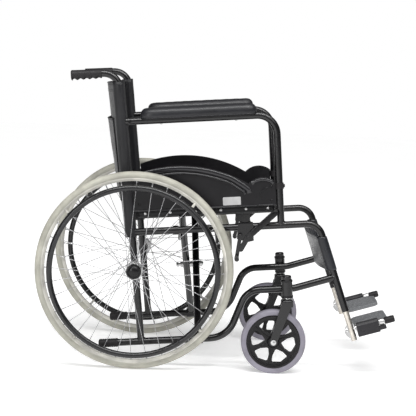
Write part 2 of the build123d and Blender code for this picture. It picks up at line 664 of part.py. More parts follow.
def right_side():
    """Every piece of the right side, by its name without the side."""
    handrim_solid = handrim()
    rim_solid = rim(handrim_solid)
    pieces = side_frame()
    pieces.update(
        rail_tip=rail_tip(),
        push_grip=push_grip(),
        arm_pad=arm_pad(),
        skirt_guard=skirt_guard(),
        rim=rim_solid,
        tyre=tyre(rim_solid),
        hub=hub(),
        spokes=spokes(),
        handrim=handrim_solid,
        axle=axle(),
        caster_housing=caster_housing(),
        caster_fork=caster_fork(),
        caster_axle=caster_axle(),
        caster_wheel=caster_wheel(),
        caster_tyre=caster_tyre(),
        brake_bracket=brake_bracket(),
        brake_lever=brake_lever(),
        brake_shoe=brake_shoe(),
        footrest_tube=footrest_tube(),
        footplate_pin=footplate_pin(),
        footplate=footplate(),
    )
    return pieces


def wheelchair():
    """Every node of the chair, in the frame's own level coordinates."""
    nodes = {}
    for name, piece in right_side().items():
        nodes["right_" + name] = piece
        nodes["left_" + name] = mirror(piece, about=Plane.XZ)
    stay = stay_link()
    nodes["right_stay_link"] = stay
    nodes["left_stay_link"] = Pos(BRACE_X[0] + BRACE_X[1], 0, 0) * mirror(
        mirror(stay, about=Plane.XZ), about=Plane.YZ
    )
    nodes["front_brace_bar"] = brace_bar(0)
    nodes["rear_brace_bar"] = mirror(brace_bar(1), about=Plane.XZ)
    nodes["left_seat_rail"] = seat_rail()
    nodes["right_seat_rail"] = mirror(seat_rail(), about=Plane.XZ)
    nodes["pivot_bolt"] = pivot_bolt()
    nodes["seat_sling"] = seat_sling()
    nodes["back_sling"] = back_sling()
    nodes["calf_strap"] = calf_strap()
    return nodes


def row_location(nodes):
    """The move from frame coordinates to the row: tilted, on the ground, centred front to back."""
    tilted = Location((0, 0, REAR_WHEEL_R), (0, -FRAME_TILT, 0))
    boxes = [(tilted * piece).bounding_box() for piece in nodes.values()]
    rear = min(box.min.X for box in boxes)
    front = max(box.max.X for box in boxes)
    return Pos(-(rear + front) / 2, 0, 0) * tilted


def main():
    os.makedirs("parts", exist_ok=True)
    nodes = wheelchair()
    place = row_location(nodes)
    for name, piece in nodes.items():
        export_step(place * piece, f"parts/{name}.step")
    print(len(nodes), "nodes; row location", place)


if __name__ == "__main__":
    main()
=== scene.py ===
import json
import math
from math import cos, pi, radians, sin, tan

import bmesh
import bpy
from mathutils import Matrix, Vector, noise


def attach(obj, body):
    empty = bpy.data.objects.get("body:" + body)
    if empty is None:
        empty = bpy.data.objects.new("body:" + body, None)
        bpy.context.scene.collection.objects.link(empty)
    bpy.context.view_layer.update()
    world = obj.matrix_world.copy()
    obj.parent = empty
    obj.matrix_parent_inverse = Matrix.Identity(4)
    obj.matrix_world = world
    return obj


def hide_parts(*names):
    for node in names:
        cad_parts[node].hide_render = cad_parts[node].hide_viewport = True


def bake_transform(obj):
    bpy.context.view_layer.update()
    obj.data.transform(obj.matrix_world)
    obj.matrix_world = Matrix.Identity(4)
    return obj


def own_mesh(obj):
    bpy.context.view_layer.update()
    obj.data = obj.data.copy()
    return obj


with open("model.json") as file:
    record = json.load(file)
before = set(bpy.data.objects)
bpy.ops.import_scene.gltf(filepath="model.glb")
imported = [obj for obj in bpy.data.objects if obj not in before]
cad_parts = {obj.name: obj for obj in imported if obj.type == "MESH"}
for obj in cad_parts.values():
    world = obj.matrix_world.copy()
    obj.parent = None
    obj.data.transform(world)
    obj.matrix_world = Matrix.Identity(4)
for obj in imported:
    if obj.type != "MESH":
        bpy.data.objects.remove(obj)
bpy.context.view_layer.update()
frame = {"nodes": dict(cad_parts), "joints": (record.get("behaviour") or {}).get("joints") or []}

# A folding manual wheelchair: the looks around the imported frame.
#
# Pieces are drawn in the chair's level coordinates, in millimetres: origin on the rear axle, X forward,
# Y to the user's left, Z up. LEVEL leans them back with the frame and turns them into metres. Everything
# on a side is drawn for the right side, and place() mirrors it for the left.

SCENE = bpy.context.scene
SIDES = ("right", "left")
JOINTS = {joint["name"]: joint for joint in frame["joints"]}

# Dimensions that the CAD frame is built on
TUBE_R = 11.1
SIDE_Y = -235.0
WHEEL_Y = -288.0
HUB_HALF_WIDTH = 19.5
TYRE_MIDDLE_R = 292.7
TYRE_R = 12.3
RIM_INNER_R = 276.0
RIM_WIDTH = 21.0
SPOKE_COUNT = 36
SPOKE_HOLE_R = 23.0
SPOKE_SWEEP = 62.0
SPOKE_SIDESTEP = 3.3
HANDRIM_Y = -322.5
HANDRIM_R = 257.0
HANDRIM_TUBE_R = 9.0
LOWER_RAIL_Z = -231.0
SIDE_TUBE_Z = 112.0
ARM_TUBE_Z = 454.0
HANDLE_Z = 604.5
POST_LEAN = radians(1.65)
HANGER_LEAN = radians(14.7)
HANGER_TOP_X = 572.4
FRONT_POST_X = 457.6
STEM_X = 466.0
STEM_Y = -262.6
CASTER_R = 100.0
CASTER_WINDOW_TURN = 17.0
SEAT_RAIL_Y = 210.0
SEAT_RAIL_Z = 167.0
SEAT_RAIL_X = (16.0, 440.0)
BRACE_PIVOT_Z = -29.0
BRACE_X = (184.0, 153.0)
FOOT_PIN_Z = -224.0
FOOT_SLOPE = radians(12.0)
FOOT_TUBE_END_Z = -259.0
HANGER_END_Z = -166.0
SLIDE_R = 9.42
SLIDE_INSIDE = 130.0
GUARD_FACE_Y = -240.5


def level_matrix():
    """The move from level millimetres to the row frame in metres, read from two CAD joints."""
    forward = Vector(JOINTS["fold"]["axis"])
    axle = Vector(JOINTS["right_wheel_spin"]["pos_m"])
    tilt = math.atan2(forward.z, forward.x)
    turn = Matrix.Translation((axle.x, 0, axle.z)) @ Matrix.Rotation(-tilt, 4, "Y")
    return turn @ Matrix.Scale(0.001, 4)


LEVEL = level_matrix()
MIRROR = Matrix.Diagonal((1, -1, 1, 1))


def post_x(z):
    """The X of the leaning back post at height z."""
    return -z * tan(POST_LEAN)


def hanger_x(z):
    """The X of the footrest hanger at height z."""
    return HANGER_TOP_X + (SIDE_TUBE_Z - z) * tan(HANGER_LEAN)


def caster_axle():
    """The caster's axle in level coordinates, from where its CAD joint is."""
    axle = LEVEL.inverted() @ Vector(JOINTS["right_caster_roll"]["pos_m"])
    return Vector((axle.x, STEM_Y, axle.z))


# Materials --------------------------------------------------------------------


class Nodes:
    """A material's node tree, with short calls for the nodes that the surfaces share."""

    def __init__(self, name, slot):
        self.material = bpy.data.materials.new(name)
        self.material.use_nodes = True
        self.tree = self.material.node_tree
        self.shader = self.tree.nodes["Principled BSDF"]
        self.coords = self.add("ShaderNodeTexCoord").outputs["Object"]

    def add(self, kind, **values):
        node = self.tree.nodes.new(kind)
        for name, value in values.items():
            setattr(node, name, value)
        return node

    def link(self, out, into):
        self.tree.links.new(out, into)

    def stretched(self, stretch):
        node = self.add("ShaderNodeMapping")
        node.inputs["Scale"].default_value = stretch
        self.link(self.coords, node.inputs["Vector"])
        return node.outputs["Vector"]

    def noise(self, scale, detail=4.0, stretch=(1, 1, 1)):
        node = self.add("ShaderNodeTexNoise")
        node.inputs["Scale"].default_value = scale
        node.inputs["Detail"].default_value = detail
        self.link(self.stretched(stretch), node.inputs["Vector"])
        return node.outputs["Fac"]

    def cells(self, scale):
        node = self.add("ShaderNodeTexVoronoi", feature="SMOOTH_F1")
        node.inputs["Scale"].default_value = scale
        self.link(self.coords, node.inputs["Vector"])
        return node.outputs["Distance"]

    def wave(self, pitch, direction):
        """Straight ribs, pitch metres apart."""
        node = self.add("ShaderNodeTexWave", bands_direction=direction)
        node.inputs["Scale"].default_value = 2 * pi / (20 * pitch)
        node.inputs["Distortion"].default_value = 0.4
        self.link(self.coords, node.inputs["Vector"])
        return node.outputs["Fac"]

    def maths(self, operation, a, b):
        node = self.add("ShaderNodeMath", operation=operation)
        self.link(a, node.inputs[0])
        self.link(b, node.inputs[1])
        return node.outputs[0]

    def ramp(self, value, low, high, start=0.3, end=0.7):
        node = self.add("ShaderNodeMapRange")
        node.inputs["From Min"].default_value = start
        node.inputs["From Max"].default_value = end
        node.inputs["To Min"].default_value = low
        node.inputs["To Max"].default_value = high
        self.link(value, node.inputs["Value"])
        return node.outputs["Result"]

    def colours(self, value, dark, light, start=0.35, end=0.65):
        node = self.add("ShaderNodeValToRGB")
        node.color_ramp.elements[0].position = start
        node.color_ramp.elements[0].color = (*dark, 1)
        node.color_ramp.elements[1].position = end
        node.color_ramp.elements[1].color = (*light, 1)
        self.link(value, node.inputs["Fac"])
        self.link(node.outputs["Color"], self.shader.inputs["Base Color"])

    def rough(self, value, low, high):
        self.link(self.ramp(value, low, high), self.shader.inputs["Roughness"])

    def bump(self, height, depth):
        """Raises the surface by depth metres where height is 1."""
        node = self.add("ShaderNodeBump")
        node.inputs["Strength"].default_value = 1.0
        node.inputs["Distance"].default_value = depth
        self.link(height, node.inputs["Height"])
        self.link(node.outputs["Normal"], self.shader.inputs["Normal"])

    def set(self, **values):
        for name, value in values.items():
            self.shader.inputs[name.replace("_", " ")].default_value = value


def shade(colour, share):
    return tuple(channel * share for channel in colour)


def painted(name, slot, colour, rough=(0.2, 0.3), coat=0.3):
    """Gloss paint on steel: a little orange peel, dust and a clear coat."""
    nodes = Nodes(name, slot)
    nodes.colours(nodes.noise(14), shade(colour, 0.75), shade(colour, 1.35))
    nodes.rough(nodes.noise(60), *rough)
    nodes.bump(nodes.noise(420, 2), 0.00006)
    nodes.set(Coat_Weight=coat, Coat_Roughness=0.12, Specular_IOR_Level=0.35)
    return nodes.material


def steel(name, slot, colour, rough=(0.18, 0.34), brushed=(1, 1, 1)):
    """Bare or plated steel with fine drawn lines."""
    nodes = Nodes(name, slot)
    nodes.colours(nodes.noise(40), shade(colour, 0.82), shade(colour, 1.05))
    nodes.rough(nodes.noise(900, 3, brushed), *rough)
    nodes.bump(nodes.noise(900, 3, brushed), 0.00002)
    nodes.set(Metallic=1.0)
    return nodes.material


def moulded(name, slot, colour, rough=(0.32, 0.45), grain=650, depth=0.00006, coat=0.0):
    """Moulded plastic or rubber with a fine texture from the mould."""
    nodes = Nodes(name, slot)
    nodes.colours(nodes.noise(22), shade(colour, 0.85), shade(colour, 1.15))
    nodes.rough(nodes.noise(90), *rough)
    nodes.bump(nodes.cells(grain), depth)
    nodes.set(Coat_Weight=coat, Coat_Roughness=0.2, Specular_IOR_Level=0.28)
    return nodes.material


def vinyl(name, slot, colour, rough=(0.36, 0.5)):
    """Padded vinyl with a leather grain and a soft sheen."""
    nodes = Nodes(name, slot)
    nodes.colours(nodes.noise(9), shade(colour, 0.8), shade(colour, 1.25))
    nodes.rough(nodes.noise(30), *rough)
    nodes.bump(nodes.maths("ADD", nodes.cells(480), nodes.noise(900, 3)), 0.00012)
    nodes.set(Sheen_Weight=0.05, Sheen_Roughness=0.4, Coat_Weight=0.08, Coat_Roughness=0.35)
    nodes.set(Specular_IOR_Level=0.35)
    return nodes.material


def woven(name, slot, colour, directions, pitch=0.0011, rough=(0.42, 0.58)):
    """Coated nylon: a plain weave, slight shine on the coating, and uneven colour along the folds."""
    nodes = Nodes(name, slot)
    nodes.colours(nodes.noise(7, 5), shade(colour, 0.72), shade(colour, 1.3))
    nodes.rough(nodes.noise(26), *rough)
    warp = nodes.wave(pitch, directions[0])
    weft = nodes.wave(pitch, directions[1])
    nodes.bump(nodes.maths("MULTIPLY", warp, weft), 0.00016)
    nodes.set(Sheen_Weight=0.06, Sheen_Roughness=0.5, Specular_IOR_Level=0.3)
    return nodes.material


def speckled(name, slot, colour, fleck):
    """Textured plastic with pale flecks."""
    nodes = Nodes(name, slot)
    nodes.colours(nodes.noise(520, 2), colour, fleck, 0.5, 0.72)
    nodes.rough(nodes.noise(70), 0.45, 0.6)
    nodes.bump(nodes.cells(520), 0.00012)
    return nodes.material


PAINT = painted("black_paint", "frame_black", (0.0034, 0.0032, 0.0038), (0.14, 0.24))
HANDRIM_PAINT = painted("handrim_enamel", "handrim_black", (0.005, 0.005, 0.006), (0.18, 0.3), 0.3)
STEEL = steel("bright_steel", "bright_steel", (0.62, 0.62, 0.62))
SLIDE = steel("slide_steel", "slide_steel", (0.66, 0.62, 0.56), (0.22, 0.36), (1, 1, 0.03))
SPOKE = steel("spoke_steel", "spoke_steel", (0.46, 0.46, 0.47))
RIM = painted("rim_grey", "rim_grey", (0.46, 0.45, 0.41), (0.34, 0.46), 0.1)
TYRE = moulded("tyre_grey", "tyre_grey", (0.36, 0.353, 0.305), (0.5, 0.62), 500)
CASTER_TYRE = moulded("caster_tyre_grey", "caster_tyre_grey", (0.20, 0.19, 0.225), (0.42, 0.55), 700)
CASTER_PLASTIC = moulded("caster_plastic", "caster_plastic", (0.005, 0.0047, 0.0055), (0.2, 0.32), 900)
RUBBER = moulded("grip_rubber", "grip_rubber", (0.011, 0.010, 0.011), (0.45, 0.6), 900, 0.0001)
PAD = vinyl("pad_vinyl", "pad_vinyl", (0.009, 0.0092, 0.0115), (0.3, 0.42))
GUARD = moulded("guard_plastic", "guard_plastic", (0.0062, 0.0058, 0.0068), (0.3, 0.42), 700)
GUARD_GLOSS = moulded(
    "guard_gloss", "guard_plastic", (0.008, 0.0076, 0.0095), (0.12, 0.22), 900, 0.00002, 0.5
)
PLATE = moulded("label_plate", "bright_steel", (0.42, 0.42, 0.42), (0.3, 0.4), 900)
BLOCK = moulded("block_plastic", "footplate_plastic", (0.010, 0.0095, 0.012), (0.26, 0.36), 900, 0.00004, 0.2)
FOOT = speckled("footplate_plastic", "footplate_plastic", (0.10, 0.104, 0.11), (0.30, 0.305, 0.31))
SLING = woven("back_cloth", "upholstery", (0.0085, 0.0085, 0.010), ("Y", "Z"), rough=(0.34, 0.46))
SEAT_CLOTH = woven("seat_cloth", "upholstery", (0.007, 0.007, 0.008), ("X", "Y"))
CALF_CLOTH = vinyl("calf_vinyl", "upholstery", (0.011, 0.012, 0.0155), (0.24, 0.36))
THREAD = moulded("thread", "upholstery", (0.03, 0.03, 0.032), (0.5, 0.6), 1500)

CAD_MATERIALS = {
    "frame_black": PAINT,
    "grip_rubber": RUBBER,
    "pad_vinyl": PAD,
    "guard_plastic": GUARD,
    "bright_steel": STEEL,
    "slide_steel": SLIDE,
    "rim_grey": RIM,
    "tyre_grey": TYRE,
    "spoke_steel": SPOKE,
    "handrim_black": HANDRIM_PAINT,
    "caster_plastic": CASTER_PLASTIC,
    "caster_tyre_grey": CASTER_TYRE,
    "footplate_plastic": FOOT,
    "upholstery": SLING,
}
NODE_SLOTS = {
    "push_grip": "grip_rubber",
    "rail_tip": "grip_rubber",
    "arm_pad": "pad_vinyl",
    "skirt_guard": "guard_plastic",
    "rim": "rim_grey",
    "tyre": "tyre_grey",
    "hub": "bright_steel",
    "spokes": "spoke_steel",
    "handrim": "handrim_black",
    "axle": "bright_steel",
    "caster_axle": "bright_steel",
    "caster_wheel": "caster_plastic",
    "caster_tyre": "caster_tyre_grey",
    "footrest_tube": "slide_steel",
    "footplate_pin": "bright_steel",
    "footplate": "footplate_plastic",
    "pivot_bolt": "bright_steel",
    "seat_sling": "upholstery",
    "back_sling": "upholstery",
    "calf_strap": "upholstery",
}


def finish_cad_nodes():
    """Gives each CAD node its procedural material."""
    for name, obj in frame["nodes"].items():
        kind = name.removeprefix("right_").removeprefix("left_")
        slot = NODE_SLOTS.get(name, NODE_SLOTS.get(kind, "frame_black"))
        for material_slot in obj.material_slots:
            material_slot.material = CAD_MATERIALS[slot]


# Mesh helpers -------------------------------------------------------------------


def loft(bm, rings, closed=False, caps=True):
    """Joins rings of points with quads. A closed loft runs back to its first ring."""
    made = [[bm.verts.new(point) for point in ring] for ring in rings]
    pairs = list(zip(made, made[1:]))
    if closed:
        pairs.append((made[-1], made[0]))
    for a, b in pairs:
        for i in range(len(a)):
            j = (i + 1) % len(a)
            bm.faces.new((a[i], a[j], b[j], b[i]))
    if caps and not closed:
        bm.faces.new(made[0])
        bm.faces.new(made[-1])


def grid(bm, rows):
    """An open sheet of quads through rows of points."""
    made = [[bm.verts.new(point) for point in row] for row in rows]
    for a, b in zip(made, made[1:]):
        for i in range(len(a) - 1):
            bm.faces.new((a[i], a[i + 1], b[i + 1], b[i]))


def across(axis):
    """Two unit vectors square to an axis and to each other."""
    axis = Vector(axis).normalized()
    helper = Vector((0, 0, 1)) if abs(axis.z) < 0.9 else Vector((1, 0, 0))
    u = axis.cross(helper).normalized()
    return u, axis.cross(u)


def lathe(bm, profile, centre, axis=(0, 1, 0), segments=48, closed=False):
    """A body turned about an axis; the profile is (radius, distance along the axis) pairs."""
    axis = Vector(axis).normalized()
    u, v = across(axis)
    rings = []
    for radius, along in profile:
        middle = Vector(centre) + axis * along
        turns = [2 * pi * i / segments for i in range(segments)]
        rings.append([middle + radius * (cos(t) * u + sin(t) * v) for t in turns])
    loft(bm, rings, closed)


def tube(bm, path, radius, segments=12, closed=False):
    """A round bar along a path of points; radius may be one number or one for each point."""
    path = [Vector(p) for p in path]
    count = len(path)
    radii = radius if isinstance(radius, (list, tuple)) else [radius] * count
    rings = []
    u = None
    for i, point in enumerate(path):
        before = path[i - 1] if i or closed else point
        after = path[(i + 1) % count] if i < count - 1 or closed else point
        tangent = (after - before).normalized()
        if u is None:
            u, _ = across(tangent)
        u = (u - tangent * u.dot(tangent)).normalized()
        v = tangent.cross(u)
        turns = [2 * pi * k / segments for k in range(segments)]
        rings.append([point + radii[i] * (cos(t) * u + sin(t) * v) for t in turns])
    loft(bm, rings, closed)


def slab(bm, outline, y0, y1):
    """A flat plate in the side plane, from an (x, z) outline."""
    loft(bm, [[Vector((x, y, z)) for x, z in outline] for y in (y0, y1)])


def bolt(bm, point, axis, radius, height, sides=6):
    """A hexagonal head on a washer, seated on point."""
    lathe(bm, [(radius * 1.35, 0), (radius * 1.35, height * 0.22)], point, axis, 24)
    top = [(radius, height * 0.2), (radius, height * 0.85), (radius * 0.82, height)]
    lathe(bm, top, point, axis, sides)


def screw(bm, point, axis, radius, height):
    """A domed screw head with a round recess."""
    dome = [
        (radius, 0),
        (radius, height * 0.35),
        (radius * 0.86, height * 0.72),
        (radius * 0.55, height),
        (radius * 0.36, height),
        (radius * 0.30, height * 0.55),
    ]
    lathe(bm, dome, point, axis, 20)


def arc(centre, radius, start, end, count):
    """Points on an arc in a plane; angles in degrees."""
    turns = [radians(start + (end - start) * i / (count - 1)) for i in range(count)]
    return [(centre[0] + radius * cos(t), centre[1] + radius * sin(t)) for t in turns]


def catmull_rom(p, q, r, s, t):
    """One coordinate of the curve at share t of the way from q to r."""
    square = (2 * p - 5 * q + 4 * r - s) * t * t
    cube = (3 * q - p - 3 * r + s) * t**3
    return 0.5 * (2 * q + (r - p) * t + square + cube)


def smooth_curve(points, steps=8):
    """A Catmull-Rom curve through points of any size, as tuples of numbers."""
    ends = [points[0]] + list(points) + [points[-1]]
    out = []
    for a, b, c, d in zip(ends, ends[1:], ends[2:], ends[3:]):
        for k in range(steps):
            out.append(tuple(catmull_rom(p, q, r, s, k / steps) for p, q, r, s in zip(a, b, c, d)))
    out.append(tuple(points[-1]))
    return out


def place(bm, name, body, material, side=None, replaces=(), bevel=0.0, sharp=38.0):
    """Makes a mesh into a piece on a CAD body.

    A side's piece is drawn on the right and mirrored for the left.
    """
    prefix = f"{side}_" if side else ""
    matrix = LEVEL @ MIRROR if side == "left" else LEVEL
    bmesh.ops.transform(bm, matrix=matrix, verts=bm.verts)
    bmesh.ops.recalc_face_normals(bm, faces=bm.faces)
    mesh = bpy.data.meshes.new(prefix + name)
    bm.to_mesh(mesh)
    bm.free()
    mesh.shade_smooth()
    mesh.set_sharp_from_angle(angle=radians(sharp))
    mesh.materials.append(material)
    obj = bpy.data.objects.new(prefix + name, mesh)
    SCENE.collection.objects.link(obj)
    if bevel:
        modifier = obj.modifiers.new("Bevel", "BEVEL")
        modifier.width = bevel * 0.001
        modifier.segments = 3
        modifier.limit_method = "ANGLE"
        modifier.angle_limit = radians(40)
        modifier.harden_normals = True
    if replaces:
        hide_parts(*[prefix + node for node in replaces])
    if body:
        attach(obj, prefix + body if side else body)
    return obj


def on_side_frame(bm, name, material, side, **options):
    """place() for a piece that rides on the side frame."""
    return place(bm, name, "frame", material, side, **options)


# Rear wheels ----------------------------------------------------------------------


def tyre_piece(side):
    """The grey tyre, with fine grooves around its tread."""
    groove_angles = (-34, -17, 0, 17, 34)
    profile = []
    for step in range(-140, 141, 2):
        groove = any(abs(step - g) <= 1 for g in groove_angles)
        radius = TYRE_R - (0.7 if groove else 0.0)
        turn = radians(step)
        profile.append((TYRE_MIDDLE_R + radius * cos(turn), radius * sin(turn)))
    bm = bmesh.new()
    lathe(bm, profile, (0, WHEEL_Y, 0), segments=160, closed=True)
    place(bm, "tyre_cover", "wheel", TYRE, side, replaces=["tyre"], sharp=60)


def spoke_ends(index):
    """A spoke's hub end and rim end, with the angle that its rim end is at."""
    flange = 1 if index % 2 else -1
    way = 1 if index % 4 < 2 else -1
    rim_angle = radians(360 / SPOKE_COUNT * (index + 0.5))
    hub_angle = rim_angle + way * radians(SPOKE_SWEEP)
    hub_y = WHEEL_Y + flange * (HUB_HALF_WIDTH - 1.5 + way * SPOKE_SIDESTEP)
    start = Vector((SPOKE_HOLE_R * cos(hub_angle), hub_y, SPOKE_HOLE_R * sin(hub_angle)))
    end = Vector((RIM_INNER_R * cos(rim_angle), WHEEL_Y + flange * 2.0, RIM_INNER_R * sin(rim_angle)))
    return start, end


def spoke_fittings(side):
    """The nipples at the rim and the round spoke heads at the hub."""
    bm = bmesh.new()
    for index in range(SPOKE_COUNT):
        start, end = spoke_ends(index)
        inward = (start - end).normalized()
        nipple = [(2.6, -1.5), (2.6, 1.0), (1.9, 1.6), (1.7, 13.0), (1.2, 14.0)]
        lathe(bm, nipple, end, inward, 10)
        out = 1 if start.y > WHEEL_Y + HUB_HALF_WIDTH else -1
        lathe(bm, [(1.7, -1.2), (1.7, 0.3), (1.1, 1.0)], start, (0, out, 0), 10)
    place(bm, "spoke_nipples", "wheel", SPOKE, side)


def hub_pieces(side):
    """The hub shell with its two flanges, its black cap, and the rubber seal at its inner end."""
    half = HUB_HALF_WIDTH
    profile = [(6.2, -half), (17, -half), (19, -half - 1.2), (26, -half), (26, -half + 3)]
    profile += [(20, -half + 3.4), (15, -half + 7), (13.4, -6), (13.4, 6)]
    profile += [(15, half - 7), (20, half - 3.4), (26, half - 3), (26, half), (6.2, half)]
    bm = bmesh.new()
    lathe(bm, profile, (0, WHEEL_Y, 0), segments=64, closed=True)
    place(bm, "hub_shell", "wheel", STEEL, side, replaces=["hub"], bevel=0.5)

    cap = [(22.6, 0), (23.5, 1.0), (23.5, 4.5), (22.0, 6.4), (19.6, 6.9), (18.4, 6.0), (17.0, 6.0)]
    cap += [(15.6, 7.6), (12.6, 9.4), (6.0, 10.6), (1.2, 10.9)]
    bm = bmesh.new()
    lathe(bm, cap, (0, WHEEL_Y - half - 1.2, 0), (0, -1, 0), 64)
    place(bm, "hub_cap", "wheel", CASTER_PLASTIC, side)

    bm = bmesh.new()
    seal = [(9.6, 0.6), (14.0, 0.6), (15.2, 2.4), (14.0, 4.4), (9.6, 4.4)]
    lathe(bm, seal, (0, WHEEL_Y + half - 0.4, 0), segments=40, closed=True)
    place(bm, "hub_seal", "wheel", RUBBER, side)


def handrim_fittings(side):
    """The bolts that hold the push rim's four tabs to the wheel's rim, and the tabs' weld collars."""
    bolts = bmesh.new()
    collars = bmesh.new()
    for index in range(4):
        turn = pi / 2 * (index + 0.5)
        outward = Vector((cos(turn), 0, sin(turn)))
        root = outward * (RIM_INNER_R + 4) + Vector((0, WHEEL_Y - RIM_WIDTH / 2 + 1, 0))
        ring = outward * HANDRIM_R + Vector((0, HANDRIM_Y, 0))
        reach = (root - ring).normalized()
        start = ring + reach * (HANDRIM_TUBE_R - 1.2)
        collar = [(4.1, 0), (6.4, 0.4), (5.6, 2.2), (4.2, 3.4)]
        lathe(collars, collar, start, reach, 20)
        bolt(bolts, outward * (RIM_INNER_R + 0.3) + Vector((0, WHEEL_Y - 5.5, 0)), -outward, 3.6, 4.2)
    place(bolts, "tab_bolts", "wheel", STEEL, side)
    place(collars, "tab_collars", "wheel", HANDRIM_PAINT, side)


# Casters ----------------------------------------------------------------------------


def caster_pieces(side):
    """The caster's tyre, the turned trim of its wheel, and the stem's bearings and cap."""
    axle = caster_axle()
    half = 15.0
    inner = 83.5
    profile = [(inner, -half + 1.5), (inner + 3, -half + 0.4), (90, -half), (92.6, -half + 0.35)]
    turns = [radians(angle) for angle in range(12, 90, 13)]
    profile += [(CASTER_R - 8 + 8 * sin(t), -half + 8 - 8 * cos(t)) for t in turns]
    profile += [(CASTER_R, -4.4), (CASTER_R - 0.8, -4.0), (CASTER_R, -3.6)]
    profile += [(r, -y) for r, y in reversed(profile)]
    bm = bmesh.new()
    lathe(bm, profile, axle, segments=120, closed=True)
    place(bm, "caster_tread", "caster_wheel", CASTER_TYRE, side, replaces=["caster_tyre"], sharp=50)

    bm = bmesh.new()
    for out in (-1, 1):
        lip = [(74.2, 11.6), (75.4, 12.4), (81.6, 12.6), (83.2, 11.8), (83.2, 11.0), (74.2, 11.0)]
        lathe(bm, lip, axle, (0, out, 0), 96, closed=True)
        boss = [(14.5, 7.6), (20.5, 7.6), (19.0, 9.4), (16.4, 13.6), (14.5, 16.0)]
        lathe(bm, boss, axle, (0, out, 0), 48, closed=True)
    place(bm, "caster_trim", "caster_wheel", CASTER_PLASTIC, side)

    bm = bmesh.new()
    for index in range(6):
        turn = radians(60 * index + CASTER_WINDOW_TURN)
        along = Vector((cos(turn), 0, sin(turn)))
        for out in (-1, 1):
            face = Vector((0, out * 7.6, 0))
            tube(bm, [axle + along * r + face for r in (18, 46, 74)], [3.4, 2.2, 3.0], 12)
    place(bm, "caster_ribs", "caster_wheel", CASTER_PLASTIC, side)

    bm = bmesh.new()
    for out in (-1, 1):
        bolt(bm, axle + Vector((0, out * 26.9, 0)), (0, out, 0), 6.2, 5.0)
    place(bm, "caster_nuts", "caster_fork", STEEL, side)

    bm = bmesh.new()
    washer = [(8.2, 0), (15.2, 0), (15.8, 1.2), (15.2, 2.6), (8.2, 2.6)]
    lathe(bm, washer, (STEM_X, STEM_Y, -113.6), (0, 0, 1), 40, closed=True)
    place(bm, "stem_washer", "caster_fork", STEEL, side)

    bm = bmesh.new()
    cap = [(17.6, 0), (18.2, 1.0), (18.2, 5.4), (17.2, 6.6), (15.4, 7.4), (14.6, 9.0), (14.6, 15.0)]
    cap += [(13.4, 17.6), (10.6, 19.3), (5.0, 20.0), (0.8, 20.1)]
    lathe(bm, cap, (STEM_X, STEM_Y, -61), (0, 0, 1), 48)
    lathe(bm, [(17.0, 0), (18.4, 0.6), (18.4, 6.4), (17.0, 7.0)], (STEM_X, STEM_Y, -110), (0, 0, 1), 48)
    on_side_frame(bm, "stem_cap", CASTER_PLASTIC, side)


def rail_curve():
    """Points along the lower rail from the caster to the footrest hanger, for the welds on it."""
    return [Vector((STEM_X, SIDE_Y, -86.5)), Vector((hanger_x(-58), SIDE_Y, -58))]


# Frame details ------------------------------------------------------------------------


def saddle_weld(bm, point, along, outward, radius=TUBE_R):
    """The weld bead where a tube that points outward meets a tube of the same size along another axis."""
    along = Vector(along).normalized()
    outward = (Vector(outward) - along * Vector(outward).dot(along)).normalized()
    sideways = along.cross(outward)
    path = []
    for k in range(40):
        turn = 2 * pi * k / 40
        path.append(
            Vector(point)
            + along * (radius + 0.7) * cos(turn)
            + sideways * (radius + 0.2) * sin(turn)
            + outward * (radius * abs(cos(turn)) + 0.2)
        )
    radii = [1.5 + 0.35 * sin(11 * 2 * pi * k / 40) for k in range(40)]
    tube(bm, path, radii, 8, closed=True)


def frame_welds(side):
    """Weld beads at the side frame's joints."""
    bm = bmesh.new()
    up = (sin(-POST_LEAN), 0, cos(POST_LEAN))
    hanger = (-sin(HANGER_LEAN), 0, cos(HANGER_LEAN))
    rail_way = rail_curve()[1] - rail_curve()[0]
    saddle_weld(bm, (post_x(SIDE_TUBE_Z), SIDE_Y, SIDE_TUBE_Z), up, (1, 0, 0))
    saddle_weld(bm, (post_x(ARM_TUBE_Z), SIDE_Y, ARM_TUBE_Z), up, (1, 0, 0))
    saddle_weld(bm, (FRONT_POST_X, SIDE_Y, SIDE_TUBE_Z), (1, 0, 0), (0, 0, 1))
    saddle_weld(bm, (post_x(LOWER_RAIL_Z), SIDE_Y, LOWER_RAIL_Z), (1, 0, 0), (0, 0, 1))
    saddle_weld(bm, (hanger_x(-58), SIDE_Y, -58), hanger, -rail_way)
    on_side_frame(bm, "frame_welds", PAINT, side)


